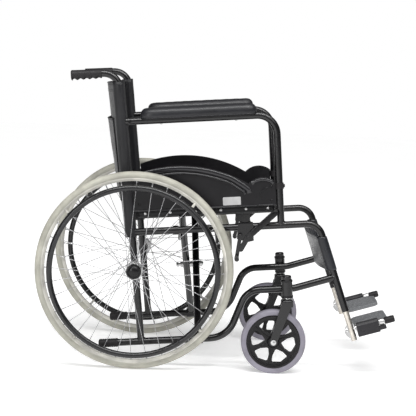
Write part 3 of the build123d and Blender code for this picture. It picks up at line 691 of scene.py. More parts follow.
def frame_fasteners(side):
    """Bolt heads, plugs and screws on the side frame."""
    bolts = bmesh.new()
    for x in (36.0, 218.0):
        bolt(bolts, (x, SIDE_Y - TUBE_R + 0.4, LOWER_RAIL_Z), (0, -1, 0), 3.4, 3.6)
    bolt(bolts, (post_x(ARM_TUBE_Z) + 22, SIDE_Y - TUBE_R + 0.4, ARM_TUBE_Z), (0, -1, 0), 3.6, 3.8)
    for z in (190.0, 340.0, 470.0):
        screw(bolts, (post_x(z) - TUBE_R - 2.2, SIDE_Y, z), (-1, 0, 0), 4.6, 2.0)
    on_side_frame(bolts, "frame_bolts", CASTER_PLASTIC, side)

    fitting = bmesh.new()
    collar = [(12.0, 0), (13.6, 0.8), (13.6, 19.2), (12.0, 20.0)]
    lathe(fitting, collar, (FRONT_POST_X, SIDE_Y, 224), (0, 0, 1), 40)
    plunger = [(5.4, 0), (5.4, 7.5), (4.4, 9.0), (1.0, 9.4)]
    lathe(fitting, plunger, (FRONT_POST_X + 8, SIDE_Y, 234), (1, 0, 0), 24)
    clamp_z = -72.0
    out = Vector((cos(HANGER_LEAN), 0, sin(HANGER_LEAN)))
    bolt(fitting, Vector((hanger_x(clamp_z), SIDE_Y, clamp_z)) - out * (TUBE_R - 0.4), -out, 4.2, 7.0)
    on_side_frame(fitting, "frame_collars", RUBBER, side)


def rail_tip_piece(side):
    """The rubber tipping step, ribbed around, over the rear end of the lower rail."""
    profile = [(1.0, -14.0), (8.5, -14.0), (11.6, -12.6), (13.2, -9.8)]
    for rib in range(7):
        start = -7.0 + rib * 6.6
        profile += [(13.6, start), (13.6, start + 3.6), (12.7, start + 4.4), (12.7, start + 5.8)]
    profile += [(13.6, 40.0), (13.6, 44.5), (12.4, 46.0), (11.3, 46.0)]
    bm = bmesh.new()
    lathe(bm, profile, (-112.0, SIDE_Y, LOWER_RAIL_Z), (1, 0, 0), 40)
    on_side_frame(bm, "tipping_step", RUBBER, side, replaces=["rail_tip"])


def push_grip_piece(side):
    """The push grip: round on top, five finger ridges beneath, and a lip at its rear end."""
    rear, front = -163.0, -69.0
    rings = []
    count = 76
    for i in range(count + 1):
        share = i / count
        x = rear + (front - rear) * share
        ridge = 0.5 + 0.5 * cos(2 * pi * share * 5)
        lower = 12.2 + 4.8 * ridge * (1.0 - 0.35 * share)
        upper = 14.6 - 1.2 * share
        if share < 0.05:
            lower = max(lower, 17.5)
            upper = 15.0
        edge = min(1.0, 0.82 + 6 * share, 0.86 + 5 * (1 - share))
        ring = []
        for k in range(40):
            turn = 2 * pi * k / 40
            down = max(0.0, -sin(turn)) ** 1.4
            radius = (upper + (lower - upper) * down) * edge
            ring.append(Vector((x, SIDE_Y + radius * cos(turn), HANDLE_Z + radius * sin(turn))))
        rings.append(ring)
    bm = bmesh.new()
    loft(bm, rings)
    on_side_frame(bm, "grip_sleeve", RUBBER, side, replaces=["push_grip"])


# Arm pads ---------------------------------------------------------------------------------


PAD_X = (41.0, 400.0)
PAD_HALF_WIDTH = 27.0
PAD_Z = (458.0, 496.0)


def pad_outline(inset, count=14):
    """The pad's outline seen from above, with tapered round ends."""
    half = PAD_HALF_WIDTH - inset
    x0, x1 = PAD_X[0] + inset, PAD_X[1] - inset
    end = 44.0
    points = []
    for i in range(count + 1):
        turn = pi / 2 * i / count
        points.append((x1 - end + end * sin(turn), half * cos(turn) ** 0.75))
    right = [(x, -y) for x, y in reversed(points[:-1])]
    front = points + right
    return front + [(x0 + x1 - x, y) for x, y in reversed(front)]


def cloth_inflate(obj, pinned, pressure, cap):
    """Swells a closed mesh with Blender's cloth simulation.

    No point ends up further than cap from its start.
    """
    group = obj.vertex_groups.new(name="pinned")
    group.add(pinned, 1.0, "REPLACE")
    modifier = obj.modifiers.new("Cloth", "CLOTH")
    settings = modifier.settings
    settings.quality = 6
    settings.mass = 0.3
    settings.tension_stiffness = 20
    settings.compression_stiffness = 20
    settings.bending_stiffness = 2.5
    settings.use_pressure = True
    settings.uniform_pressure_force = pressure
    settings.vertex_group_mass = "pinned"
    settings.effector_weights.gravity = 0.0
    start = [v.co.copy() for v in obj.data.vertices]
    for step in range(1, 17):
        SCENE.frame_set(step)
    graph = bpy.context.evaluated_depsgraph_get()
    swollen = [v.co.copy() for v in obj.evaluated_get(graph).data.vertices]
    obj.modifiers.remove(modifier)
    obj.vertex_groups.clear()
    SCENE.frame_set(1)
    for vertex, before, after in zip(obj.data.vertices, start, swollen):
        move = after - before
        if move.length > cap:
            move *= cap / move.length
        vertex.co = before + move


def arm_pad_mesh():
    """The padded top of an armrest in metres, before it is put in place: crowned, with pulled-in sides."""
    levels = [(5.0, 0.0), (1.8, 5.0), (1.0, 12.0), (2.2, 20.0), (5.2, 27.0), (11.0, 32.5), (17.0, 35.0)]
    bm = bmesh.new()
    rings = [[Vector((x, y, PAD_Z[0] + height)) for x, y in pad_outline(inset)] for inset, height in levels]
    loft(bm, rings)
    bmesh.ops.transform(bm, matrix=Matrix.Scale(0.001, 4), verts=bm.verts)
    bmesh.ops.recalc_face_normals(bm, faces=bm.faces)
    mesh = bpy.data.meshes.new("pad_start")
    bm.to_mesh(mesh)
    bm.free()
    obj = bpy.data.objects.new("pad_start", mesh)
    SCENE.collection.objects.link(obj)
    remesh = obj.modifiers.new("Remesh", "REMESH")
    remesh.mode = "VOXEL"
    remesh.voxel_size = 0.0045
    graph = bpy.context.evaluated_depsgraph_get()
    obj.data = bpy.data.meshes.new_from_object(obj.evaluated_get(graph))
    obj.modifiers.clear()
    floor = (PAD_Z[0] + 4.0) * 0.001
    pinned = [v.index for v in obj.data.vertices if v.co.z < floor]
    cloth_inflate(obj, pinned, 4.0, 0.006)
    bm = bmesh.new()
    bm.from_mesh(obj.data)
    bpy.data.objects.remove(obj)
    bmesh.ops.smooth_vert(bm, verts=bm.verts, factor=0.4, use_axis_x=True, use_axis_y=True, use_axis_z=True)
    top = PAD_Z[1] * 0.001
    for vertex in bm.verts:
        vertex.co.z = min(vertex.co.z, top)
        rise = 0.0006 * sin(vertex.co.x * 190 + 2.0 * noise.noise(vertex.co * 14))
        vertex.co.z += rise * max(0.0, (vertex.co.z - PAD_Z[0] * 0.001) / 0.038) * 0.5
    bmesh.ops.transform(bm, matrix=Matrix.Scale(1000, 4), verts=bm.verts)
    return bm


def arm_pad_pieces(side, source):
    """One armrest: the vinyl pad, its piping, the board beneath and the screws into the arm tube."""
    bm = source.copy()
    bmesh.ops.translate(bm, verts=bm.verts, vec=(0, SIDE_Y, 0))
    pad = on_side_frame(bm, "arm_cushion", PAD, side, replaces=["arm_pad"], sharp=180)
    subdivision = pad.modifiers.new("Smooth", "SUBSURF")
    subdivision.levels = 1
    subdivision.render_levels = 1

    bm = bmesh.new()
    path = [Vector((x, SIDE_Y + y, PAD_Z[0] + 3.2)) for x, y in pad_outline(3.0)]
    tube(bm, path, 1.5, 8, closed=True)
    on_side_frame(bm, "arm_piping", PAD, side)

    bm = bmesh.new()
    rings = []
    for inset, height in ((9.0, -3.4), (7.0, -3.6), (5.2, -2.4), (4.6, 0.6)):
        rings.append([Vector((x, SIDE_Y + y, PAD_Z[0] + height)) for x, y in pad_outline(inset)])
    loft(bm, rings)
    on_side_frame(bm, "arm_board", GUARD, side)

    bm = bmesh.new()
    for x in (105.0, 335.0):
        screw(bm, (x, SIDE_Y, ARM_TUBE_Z - TUBE_R + 0.4), (0, 0, -1), 4.4, 2.4)
    on_side_frame(bm, "arm_screws", STEEL, side)


# Skirt guards --------------------------------------------------------------------------------


GUARD_BOTTOM_Z = 174.0
GUARD_REAR_X = 7.0
GUARD_FRONT_X = 446.0
GUARD_REAR_TOP_Z = 288.0
GUARD_CREST = (135.0, 311.0)
GUARD_VALLEY = (362.0, 245.0)
GUARD_ARCH_TOP = (408.0, 263.0)
GUARD_FRONT_TOP_Z = 248.0


def three_point_arc(a, b, c, count):
    """Points on the circle through three points, from a by b to c."""
    ax, ay = a
    bx, by = b
    cx, cy = c
    d = 2 * (ax * (by - cy) + bx * (cy - ay) + cx * (ay - by))
    sa, sb, sc = ax * ax + ay * ay, bx * bx + by * by, cx * cx + cy * cy
    ux = (sa * (by - cy) + sb * (cy - ay) + sc * (ay - by)) / d
    uy = (sa * (cx - bx) + sb * (ax - cx) + sc * (bx - ax)) / d
    radius = math.hypot(ax - ux, ay - uy)
    start = math.atan2(ay - uy, ax - ux)
    end = math.atan2(cy - uy, cx - ux)
    return arc((ux, uy), radius, math.degrees(start), math.degrees(end), count)


def guard_top():
    """The guard's top edge: the long arc that follows the wheel, then the small arch at the front."""
    long_arc = three_point_arc((GUARD_REAR_X, GUARD_REAR_TOP_Z), GUARD_CREST, GUARD_VALLEY, 40)
    arch = three_point_arc(GUARD_VALLEY, GUARD_ARCH_TOP, (GUARD_FRONT_X, GUARD_FRONT_TOP_Z), 20)
    return long_arc, arch[1:]


def ridge(bm, line, offsets, base_y):
    """A raised band along an (x, z) line.

    The offsets are (distance below the line, height off the face) pairs.
    """
    rings = []
    count = len(line)
    for i, (x, z) in enumerate(line):
        xa, za = line[max(i - 1, 0)]
        xb, zb = line[min(i + 1, count - 1)]
        length = math.hypot(xb - xa, zb - za)
        down = Vector(((zb - za) / length, 0, -(xb - xa) / length))
        fade = min(1.0, 4 * i / count + 0.2, 6 * (count - 1 - i) / count + 0.25)
        ring = []
        for below, height in offsets:
            ring.append(Vector((x, base_y - height * fade, z)) + down * below)
        rings.append(ring)
    loft(bm, rings)


def guard_pieces(side):
    """The moulded side panel with its glossy ribs, the front arch with its recess, and its fasteners."""
    long_arc, arch = guard_top()
    bm = bmesh.new()
    outline = [(GUARD_FRONT_X, GUARD_BOTTOM_Z), (GUARD_REAR_X, GUARD_BOTTOM_Z)] + long_arc + arch
    slab(bm, outline, GUARD_FACE_Y + 0.4, GUARD_FACE_Y + 4.6)
    on_side_frame(bm, "guard_panel", GUARD, side, replaces=["skirt_guard"], bevel=0.7)

    bm = bmesh.new()
    hook = [(366, 236), (371, 226), (373, 218)]
    line = smooth_curve(long_arc[2:-2:4] + hook, 4)
    broad = [(1.0, -0.6), (1.6, 2.0), (4.5, 3.6), (9.0, 4.4), (14.0, 3.6), (16.4, 1.8), (17.0, -0.6)]
    narrow = [(19.0, -0.6), (19.6, 3.0), (22.0, 5.2), (24.6, 5.0), (26.6, 2.2), (27.0, -0.6)]
    ridge(bm, line, broad, GUARD_FACE_Y)
    ridge(bm, line, narrow, GUARD_FACE_Y)
    on_side_frame(bm, "guard_ribs", GUARD_GLOSS, side, sharp=55)

    bm = bmesh.new()
    rim_line = smooth_curve(arch[1::3] + [(445, 246)], 4)
    rim_band = [(1.2, -0.6), (1.6, 3.4), (4.6, 5.6), (9.2, 4.6), (12.0, 1.6), (12.6, -0.6)]
    ridge(bm, rim_line, rim_band, GUARD_FACE_Y)
    on_side_frame(bm, "guard_arch", GUARD_GLOSS, side, sharp=55)

    bm = bmesh.new()
    recess = arc((422, 205), 27, 200, 92, 22)
    ridge(bm, recess, [(0.0, -0.6), (0.4, 1.0), (2.2, 1.5), (4.0, 0.9), (4.4, -0.6)], GUARD_FACE_Y)
    on_side_frame(bm, "guard_recess", GUARD, side, sharp=55)

    bm = bmesh.new()
    lip = [(0.0, -0.6), (0.5, 2.4), (2.6, 3.2), (4.4, 1.6), (5.0, -0.6)]
    for start, end in ((GUARD_REAR_X + 2, 386), (392, GUARD_FRONT_X - 2)):
        ridge(bm, [(start + (end - start) * i / 24, 180.5) for i in range(25)], lip, GUARD_FACE_Y)
    on_side_frame(bm, "guard_lip", GUARD_GLOSS, side, sharp=55)

    bm = bmesh.new()
    for x, z in ((24, 196), (24, 262), (432, 190), (432, 234), (230, 190)):
        screw(bm, (x, GUARD_FACE_Y - 0.1, z), (0, -1, 0), 4.2, 2.0)
    on_side_frame(bm, "guard_screws", CASTER_PLASTIC, side)

    bm = bmesh.new()
    corners = arc((335, 205), 2, 0, 90, 5) + arc((284, 205), 2, 90, 180, 5)
    corners += arc((284, 184), 2, 180, 270, 5) + arc((335, 184), 2, 270, 360, 5)
    slab(bm, corners, GUARD_FACE_Y - 0.9, GUARD_FACE_Y + 0.6)
    on_side_frame(bm, "blank_plate", PLATE, side, bevel=0.2)


# Upholstery ------------------------------------------------------------------------------------


def thicken(obj, thickness):
    """Gives a sheet its cloth thickness, in millimetres."""
    solid = obj.modifiers.new("Cloth thickness", "SOLIDIFY")
    solid.thickness = thickness * 0.001
    solid.offset = 0


def apply_modifiers(obj):
    """Turns the modified shape into the piece's own mesh, for the calls that need the final mesh."""
    graph = bpy.context.evaluated_depsgraph_get()
    mesh = bpy.data.meshes.new_from_object(obj.evaluated_get(graph))
    obj.modifiers.clear()
    obj.data = mesh


def stitches(bm, path, length=3.2, gap=2.0, radius=0.55):
    """A row of thread stitches along a path."""
    path = [Vector(p) for p in path]
    ahead = 0.0
    for a, b in zip(path, path[1:]):
        step = b - a
        size = step.length
        if size < 1e-6:
            continue
        way = step / size
        while ahead < size:
            start = a + way * ahead
            end = a + way * min(ahead + length, size)
            if (end - start).length > 1.0:
                tube(bm, [start, (start + end) / 2, end], [radius * 0.5, radius, radius * 0.5], 6)
            ahead += length + gap
        ahead -= size


def wrinkle(point, size, spread):
    """A smooth random offset for cloth, the same on every run."""
    return size * noise.noise(Vector(point) * spread)


SEAT_TOP_Z = SEAT_RAIL_Z + TUBE_R + 1.2


def seat_height(x, y):
    """The seat cloth's height: it lies over both rails and sags between them, with faint cross creases."""
    share = min(1.0, abs(y) / SEAT_RAIL_Y)
    sag = 18.0 * (1 - share**2)
    crease = 0.9 * sin(y / 17.0 + 1.6 * noise.noise(Vector((x, y, 0)) * 0.012)) * (1 - share)
    return SEAT_TOP_Z + 3.4 - sag + crease + wrinkle((x, y, 3), 1.6, 0.02) * (1 - share)


def seat_pieces():
    """The seat sling, wrapped over both rails, with its hems, stitching, screws and the plugs in the rail
    ends.
    """
    x0, x1 = SEAT_RAIL_X[0] + 1, SEAT_RAIL_X[1] - 1
    wrap = [radians(a) for a in range(90, -61, -15)]
    radius = TUBE_R + 2.2
    bm = bmesh.new()
    rows = []
    for i in range(61):
        x = x0 + (x1 - x0) * i / 60
        edge = [(SEAT_RAIL_Y + radius * cos(t), SEAT_RAIL_Z + radius * sin(t)) for t in wrap]
        middle = [(-SEAT_RAIL_Y + 2 * SEAT_RAIL_Y * k / 48) for k in range(1, 48)]
        row = [Vector((x, -y, z)) for y, z in reversed(edge)]
        row += [Vector((x, y, seat_height(x, y))) for y in middle]
        row += [Vector((x, y, z)) for y, z in edge]
        rows.append(row)
    grid(bm, rows)
    seat = place(bm, "seat_cover", None, SEAT_CLOTH, replaces=["seat_sling"], sharp=180)
    thicken(seat, 2.6)
    apply_modifiers(seat)

    trim = bmesh.new()
    for x in (x0 + 1.2, x1 - 1.2):
        line = [(x, y, seat_height(x, y) + 0.4) for y in [-200 + 8 * k for k in range(51)]]
        tube(trim, line, 2.0, 8)
    hem = place(trim, "seat_hem", None, SEAT_CLOTH, sharp=180)

    thread = bmesh.new()
    for x in (x0 + 9, x0 + 14, x1 - 14, x1 - 9):
        stitches(thread, [(x, y, seat_height(x, y) + 1.5) for y in [-198 + 6 * k for k in range(67)]])
    for y in (-188, 188):
        stitches(thread, [(x0 + 16 + 6 * k, y, seat_height(x0 + 16 + 6 * k, y) + 1.5) for k in range(66)])
    seams = place(thread, "seat_stitching", None, THREAD, sharp=180)

    for piece in (seat, hem, seams):
        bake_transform(piece)

    for side, body in (("left", "front_brace"), ("right", "rear_brace")):
        out = 1 if side == "left" else -1
        screws = bmesh.new()
        for x in (40, 118, 196, 274, 352, 420):
            screw(screws, (x, out * (SEAT_RAIL_Y + radius + 1.0), SEAT_RAIL_Z), (0, out, 0), 4.6, 2.2)
        place(screws, f"{side}_seat_screws", body, STEEL)
        caps = bmesh.new()
        for x, way in ((SEAT_RAIL_X[0], -1), (SEAT_RAIL_X[1], 1)):
            plug = [(11.3, -4), (11.6, -1.2), (10.4, -0.2), (6.0, 0.0), (0.8, 0.0)]
            lathe(caps, plug, (x, out * SEAT_RAIL_Y, SEAT_RAIL_Z), (way, 0, 0), 32)
        place(caps, f"{side}_seat_rail_plugs", body, CASTER_PLASTIC)


BACK_Z = (100.0, 575.0)
BACK_EDGE_Y = 221.0


def back_sag(z):
    """How far the backrest bows to the rear at height z: most just under the top edge."""
    share = (z - BACK_Z[0]) / (BACK_Z[1] - BACK_Z[0])
    return 20.0 + 17.0 * share


def back_point(y, z, out=0.0):
    """A point on the backrest cloth; out moves it to the rear."""
    share = min(1.0, abs(y) / BACK_EDGE_Y)
    bow = back_sag(z) * (1 - share**2.2)
    folds = 1.5 * sin(y / 19 + 2.2 * noise.noise(Vector((y, z, 0)) * 0.008)) * share * (1 - share) * 4
    drape = wrinkle((y, z, 9), 3.0, 0.012) * (1 - share)
    return Vector((post_x(z) - TUBE_R - 3.2 - bow + folds * 0.7 + drape - out, y, z))


def cloth_rows(z0, z1, rows, half, columns, point, out=0.0):
    """Rows of points over a hung sheet, from z0 to z1 and from -half to half."""
    return [
        [point(-half + 2 * half * k / columns, z0 + (z1 - z0) * i / rows, out) for k in range(columns + 1)]
        for i in range(rows + 1)
    ]


def arc_length(points):
    return sum((b - a).length for a, b in zip(points, points[1:]))


def sleeve(bm, z0, z1, centre, radius, rear, rows=44):
    """A fabric sleeve round a leaning tube, drawn out to the rear where the cloth leaves it."""
    rings = []
    for i in range(rows + 1):
        share = i / rows
        z = z0 + (z1 - z0) * share
        ring = []
        for k in range(36):
            turn = 2 * pi * k / 36
            back = max(0.0, -cos(turn))
            reach = radius + rear * back**3
            crease = 0.55 * sin(5 * turn + 3 * noise.noise(Vector((0, z * 0.01, turn)))) * (0.4 + back)
            pucker = 0.5 * sin(z / 13 + 2 * turn) * max(0.0, 1 - 8 * min(share, 1 - share))
            size = reach + crease + pucker
            ring.append(Vector((centre(z) + size * cos(turn), SIDE_Y + size * sin(turn) * 0.985, z)))
        rings.append(ring)
    loft(bm, rings, caps=False)


def back_pieces():
    """The backrest: the bowed sling, its sleeves round the posts, the rear pocket and all their hems."""
    z0, z1 = BACK_Z
    bm = bmesh.new()
    grid(bm, cloth_rows(z0, z1, 56, BACK_EDGE_Y, 64, back_point))
    back = place(bm, "back_cover", "right_frame", SLING, replaces=["back_sling"], sharp=180)
    thicken(back, 2.4)
    apply_modifiers(back)

    bm = bmesh.new()
    for z in (z0 + 1.5, z1 - 1.5):
        tube(bm, [back_point(y, z) for y in [-BACK_EDGE_Y + 8.5 * k for k in range(53)]], 2.3, 8)
    hem = place(bm, "back_hem", "right_frame", SLING, sharp=180)

    bm = bmesh.new()
    for z in (z0 + 12, z1 - 22, z1 - 27):
        for out in (-1.7, 1.7):
            stitches(bm, [back_point(-212 + 6 * k, z, out) for k in range(71)])
    for y in (-205, 205):
        stitches(bm, [back_point(y, z0 + 16 + 6 * k, 1.7) for k in range(66)])
    seams = place(bm, "back_stitching", "right_frame", THREAD, sharp=180)

    bm = bmesh.new()
    top, bottom, half = 462.0, 205.0, 165.0
    rows = cloth_rows(bottom, top, 40, half, 44, back_point, 3.4)
    for i, row in enumerate(rows):
        for k, point in enumerate(row):
            inside = min(1.0, 5 * (0.5 - abs(k / 44 - 0.5))) * min(1.0, 6 * i / 40)
            point.x -= 5.0 * inside + 3.0 * inside * (i / 40) ** 2
    grid(bm, rows)
    pocket = place(bm, "back_pocket", "right_frame", SLING, sharp=180)
    thicken(pocket, 1.8)
    apply_modifiers(pocket)

    bm = bmesh.new()
    tube(bm, rows[-1], 2.2, 8)
    tube(bm, [row[0] for row in rows], 1.5, 8)
    tube(bm, [row[-1] for row in rows], 1.5, 8)
    tube(bm, rows[0], 1.5, 8)
    pocket_hem = place(bm, "pocket_hem", "right_frame", SLING, sharp=180)

    width = arc_length([back_point(-BACK_EDGE_Y + 6.5 * k, 320) for k in range(69)])
    for piece in (back, hem, seams, pocket, pocket_hem):
        fold_flat(piece)

    for side in SIDES:
        bm = bmesh.new()
        sleeve(bm, z0 - 2, z1 + 2, post_x, TUBE_R + 1.9, 8.5)
        cover = on_side_frame(bm, "post_sleeve", SLING, side, sharp=180)
        thicken(cover, 1.6)
        bm = bmesh.new()
        for z in (z0 - 1, z1 + 1):
            turns = [2 * pi * k / 32 for k in range(32)]
            ring = [Vector((post_x(z) + 12.6 * cos(t), SIDE_Y + 12.4 * sin(t), z)) for t in turns]
            tube(bm, ring, 1.5, 8, closed=True)
        on_side_frame(bm, "post_sleeve_hem", SLING, side, sharp=180)


def fold_flat(piece):
    """Gives a hung piece its own copy of its mesh."""
    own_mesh(piece)


CALF_Z = (-40.0, 66.0)


def calf_point(y, z, out=0.0):
    """A point on the calf strap, which bows to the rear between the hangers."""
    share = min(1.0, abs(y) / BACK_EDGE_Y)
    bow = 34.0 * (1 - share**2)
    droop = wrinkle((y, z, 4), 2.0, 0.02) * (1 - share)
    return Vector((hanger_x(z) - 6.0 - bow + droop - out, y, z))


def calf_pieces():
    """The calf strap, its sleeves round the hangers, and its hems and stitching."""
    z0, z1 = CALF_Z
    bm = bmesh.new()
    grid(bm, cloth_rows(z0, z1, 16, BACK_EDGE_Y, 60, calf_point))
    strap = place(bm, "calf_sling", "right_frame", CALF_CLOTH, replaces=["calf_strap"], sharp=180)
    thicken(strap, 3.0)
    apply_modifiers(strap)

    bm = bmesh.new()
    for z in (z0 + 1, z1 - 1):
        tube(bm, [calf_point(-BACK_EDGE_Y + 8.5 * k, z) for k in range(53)], 2.4, 8)
    hem = place(bm, "calf_hem", "right_frame", CALF_CLOTH, sharp=180)

    bm = bmesh.new()
    for z in (z0 + 9, z1 - 9):
        for out in (-2.0, 2.0):
            stitches(bm, [calf_point(-212 + 6 * k, z, out) for k in range(71)])
    seams = place(bm, "calf_stitching", "right_frame", THREAD, sharp=180)

    width = arc_length([calf_point(-BACK_EDGE_Y + 6.5 * k, 13) for k in range(69)])
    for piece in (strap, hem, seams):
        fold_flat(piece)

    for side in SIDES:
        bm = bmesh.new()
        sleeve(bm, z0 + 6, z1 + 4, hanger_x, TUBE_R + 1.9, 6.0, 18)
        cover = on_side_frame(bm, "hanger_sleeve", CALF_CLOTH, side, sharp=180)
        thicken(cover, 1.8)


# Cross brace --------------------------------------------------------------------------------------


def brace_pieces():
    """Weld rings at the brace bars' ends, and the heads of the centre bolt."""
    reach = math.atan2(-SIDE_Y, BRACE_PIVOT_Z - LOWER_RAIL_Z)
    for x, body, way in ((BRACE_X[0], "front_brace", 1), (BRACE_X[1], "rear_brace", -1)):
        along = Vector((0, way * sin(reach), cos(reach)))
        foot = Vector((x, way * SIDE_Y, LOWER_RAIL_Z))
        bm = bmesh.new()
        lathe(bm, [(11.0, 15.0), (13.2, 16.2), (12.8, 18.4), (11.0, 19.8)], foot, along, 32)
        head = Vector((x, way * SEAT_RAIL_Y, SEAT_RAIL_Z)) - along * 15
        lathe(bm, [(11.0, -3.6), (12.6, -2.0), (13.0, 0.4), (11.0, 1.6)], head, along, 32)
        place(bm, f"{body}_welds", body, PAINT)
    bm = bmesh.new()
    bolt(bm, (201.0, 0, BRACE_PIVOT_Z), (1, 0, 0), 7.4, 7.0)
    bolt(bm, (127.0, 0, BRACE_PIVOT_Z), (-1, 0, 0), 7.4, 7.0)
    place(bm, "pivot_heads", "front_brace", STEEL)


# Brakes ----------------------------------------------------------------------------------------------


BRAKE_LEVER_Y = -255.1
BRAKE_SHOE_Y = -260.7
LEVER_PIVOT = (353.0, 82.0)
LEVER_TIP = (437.0, 150.0)
SHOE_PIVOT = (330.0, 88.0)
SHOE = (315.5, 21.0)
LEVER_SECTIONS = (
    (0.12, 8.6, 3.4),
    (0.18, 9.8, 4.4),
    (0.60, 9.6, 4.2),
    (0.90, 10.0, 4.4),
    (1.03, 9.6, 4.4),
    (1.09, 7.0, 3.6),
    (1.11, 3.0, 2.0),
)


def brake_pieces(side):
    """The lever's plastic sleeve, the shoe's knurled foot, the pivot nuts and the clamp bolts."""
    pivot = Vector((LEVER_PIVOT[0], BRAKE_LEVER_Y, LEVER_PIVOT[1]))
    tip = Vector((LEVER_TIP[0], BRAKE_LEVER_Y, LEVER_TIP[1]))
    along = (tip - pivot).normalized()
    bm = bmesh.new()
    rings = []
    for share, half, thick in LEVER_SECTIONS:
        middle = pivot + (tip - pivot) * share
        normal = Vector((-along.z, 0, along.x))
        ring = []
        for k in range(24):
            turn = 2 * pi * k / 24
            wide = abs(cos(turn)) ** 0.6 * math.copysign(1, cos(turn))
            deep = abs(sin(turn)) ** 0.6 * math.copysign(1, sin(turn))
            ring.append(middle + normal * half * wide + Vector((0, thick * deep, 0)))
        rings.append(ring)
    loft(bm, rings)
    place(bm, "lever_sleeve", "brake_lever", CASTER_PLASTIC, side, sharp=60)

    bm = bmesh.new()
    foot = Vector((SHOE[0], BRAKE_SHOE_Y, SHOE[1]))
    profile = []
    for step in range(11):
        y = 1.0 - step * 3.8
        profile += [(7.2, y), (7.2, y - 2.4), (6.6, y - 2.8), (6.6, y - 3.4)]
    lathe(bm, profile, foot, segments=32)
    place(bm, "shoe_foot", "brake_shoe", PAINT, side)

    bm = bmesh.new()
    bolt(bm, (LEVER_PIVOT[0], BRAKE_LEVER_Y - 3.4, LEVER_PIVOT[1]), (0, -1, 0), 5.0, 4.4)
    bolt(bm, (SHOE_PIVOT[0], BRAKE_SHOE_Y - 3.4, SHOE_PIVOT[1]), (0, -1, 0), 5.0, 4.4)
    for x in (335.0, 361.0):
        bolt(bm, (x, SIDE_Y, SIDE_TUBE_Z + 14), (0, 0, 1), 4.2, 4.2)
    on_side_frame(bm, "brake_nuts", PAINT, side)


# Footrests ------------------------------------------------------------------------------------------


FOOT_PIN = (hanger_x(FOOT_PIN_Z), SIDE_Y, FOOT_PIN_Z)
FOOT_MATRIX = Matrix.Translation(FOOT_PIN) @ Matrix.Rotation(-FOOT_SLOPE, 4, "Y")


def on_footrest(bm, name, body, material, side, **options):
    """place() for a piece drawn about the footplate's pin, with X along the pin."""
    bmesh.ops.transform(bm, matrix=FOOT_MATRIX, verts=bm.verts)
    place(bm, name, body, material, side, **options)


def footplate_board(side):
    """The speckled footplate, with diagonal ribs on top and a cut-off inner front corner."""
    outline = [(14, 13), (88, 13), (95, 15), (120, 43)]
    outline += arc((102, 142), 18, 0, 90, 9) + arc((32, 142), 18, 90, 180, 9)
    bm = bmesh.new()
    loft(bm, [[Vector((x, y, z)) for x, y in outline] for z in (-9.0, 4.0)])
    on_footrest(bm, "plate_board", "footplate", FOOT, side, replaces=["footplate"], bevel=1.6)

    bm = bmesh.new()
    for k in range(9):
        start = Vector((26, 34 + 14 * k, 4.2))
        end = Vector((108, 26 + 14 * k, 4.2))
        if end.y < 40:
            end = Vector((92, 27 + 14 * k, 4.2))
        tube(bm, [start, (start + end) / 2, end], [1.2, 1.6, 1.2], 8)
    on_footrest(bm, "plate_ribs", "footplate", FOOT, side)


def hinge_block(side):
    """The black hinge block that turns on the pin, with a chamfered top and a stop tab at its front."""
    section = [(-16, -27), (16, -27), (16, 8), (10, 14), (-9, 14), (-16, 7)]
    bm = bmesh.new()
    loft(bm, [[Vector((x, y, z)) for y, z in section] for x in (17.0, 87.0)])
    tab = [(-9, -24), (7, -24), (7, -11.5), (-9, -11.5)]
    loft(bm, [[Vector((x, y, z)) for y, z in tab] for x in (86.0, 108.0)])
    on_footrest(bm, "hinge_block", "footplate", BLOCK, side, bevel=1.2)


def footrest_fittings(side):
    """The slide tube, the pin with its nuts, the fluted knob on its front end and the heel bracket."""
    top_z = HANGER_END_Z + SLIDE_INSIDE * cos(HANGER_LEAN)
    ends = [Vector((hanger_x(z), SIDE_Y, z)) for z in (top_z, FOOT_TUBE_END_Z)]
    bm = bmesh.new()
    tube(bm, [ends[0], ends[0].lerp(ends[1], 0.5), ends[1]], SLIDE_R, 40)
    place(bm, "slide_tube", "footrest", SLIDE, side, replaces=["footrest_tube"], bevel=0.6)

    bm = bmesh.new()
    lathe(bm, [(5.0, -15.8), (5.0, 108.0)], (0, 0, 0), (1, 0, 0), 32)
    lathe(bm, [(5.1, -15.8), (8.6, -15.8), (8.6, -11.2), (5.1, -11.2)], (0, 0, 0), (1, 0, 0), 32)
    nut = [(5.2, 88.2), (9.0, 88.2), (10.0, 89.4), (10.0, 103.0), (8.8, 104.6), (5.2, 104.6)]
    lathe(bm, nut, (0, 0, 0), (1, 0, 0), 40)
    lathe(bm, [(5.1, 13.2), (8.0, 13.2), (8.0, 16.6), (5.1, 16.6)], (0, 0, 0), (1, 0, 0), 24)
    bolt(bm, (-15.6, 0, 0), (-1, 0, 0), 6.0, 4.6)
    on_footrest(bm, "hinge_pin", "footrest", STEEL, side, replaces=["footplate_pin"])

    bm = bmesh.new()
    rings = []
    for x, radius in ((106.5, 9.0), (108.0, 10.6), (111.0, 11.0), (130.0, 11.0), (136.0, 10.6), (138.4, 8.6)):
        ring = []
        for k in range(72):
            turn = 2 * pi * k / 72
            flute = 0.55 * max(0.0, cos(12 * turn)) if 108 < x < 135 else 0.0
            ring.append(Vector((x, (radius - flute) * cos(turn), (radius - flute) * sin(turn))))
        rings.append(ring)
    loft(bm, rings)
    on_footrest(bm, "pin_knob", "footrest", RUBBER, side)

    bm = bmesh.new()
    slab(bm, arc((4, -5), 25, 112, 248, 20), -5.5, 5.5)
    on_footrest(bm, "heel_bracket", "footrest", PLATE, side, bevel=2.0)


def footplate_pieces(side):
    footplate_board(side)
    hinge_block(side)
    footrest_fittings(side)


# Making -----------------------------------------------------------------------------------------------


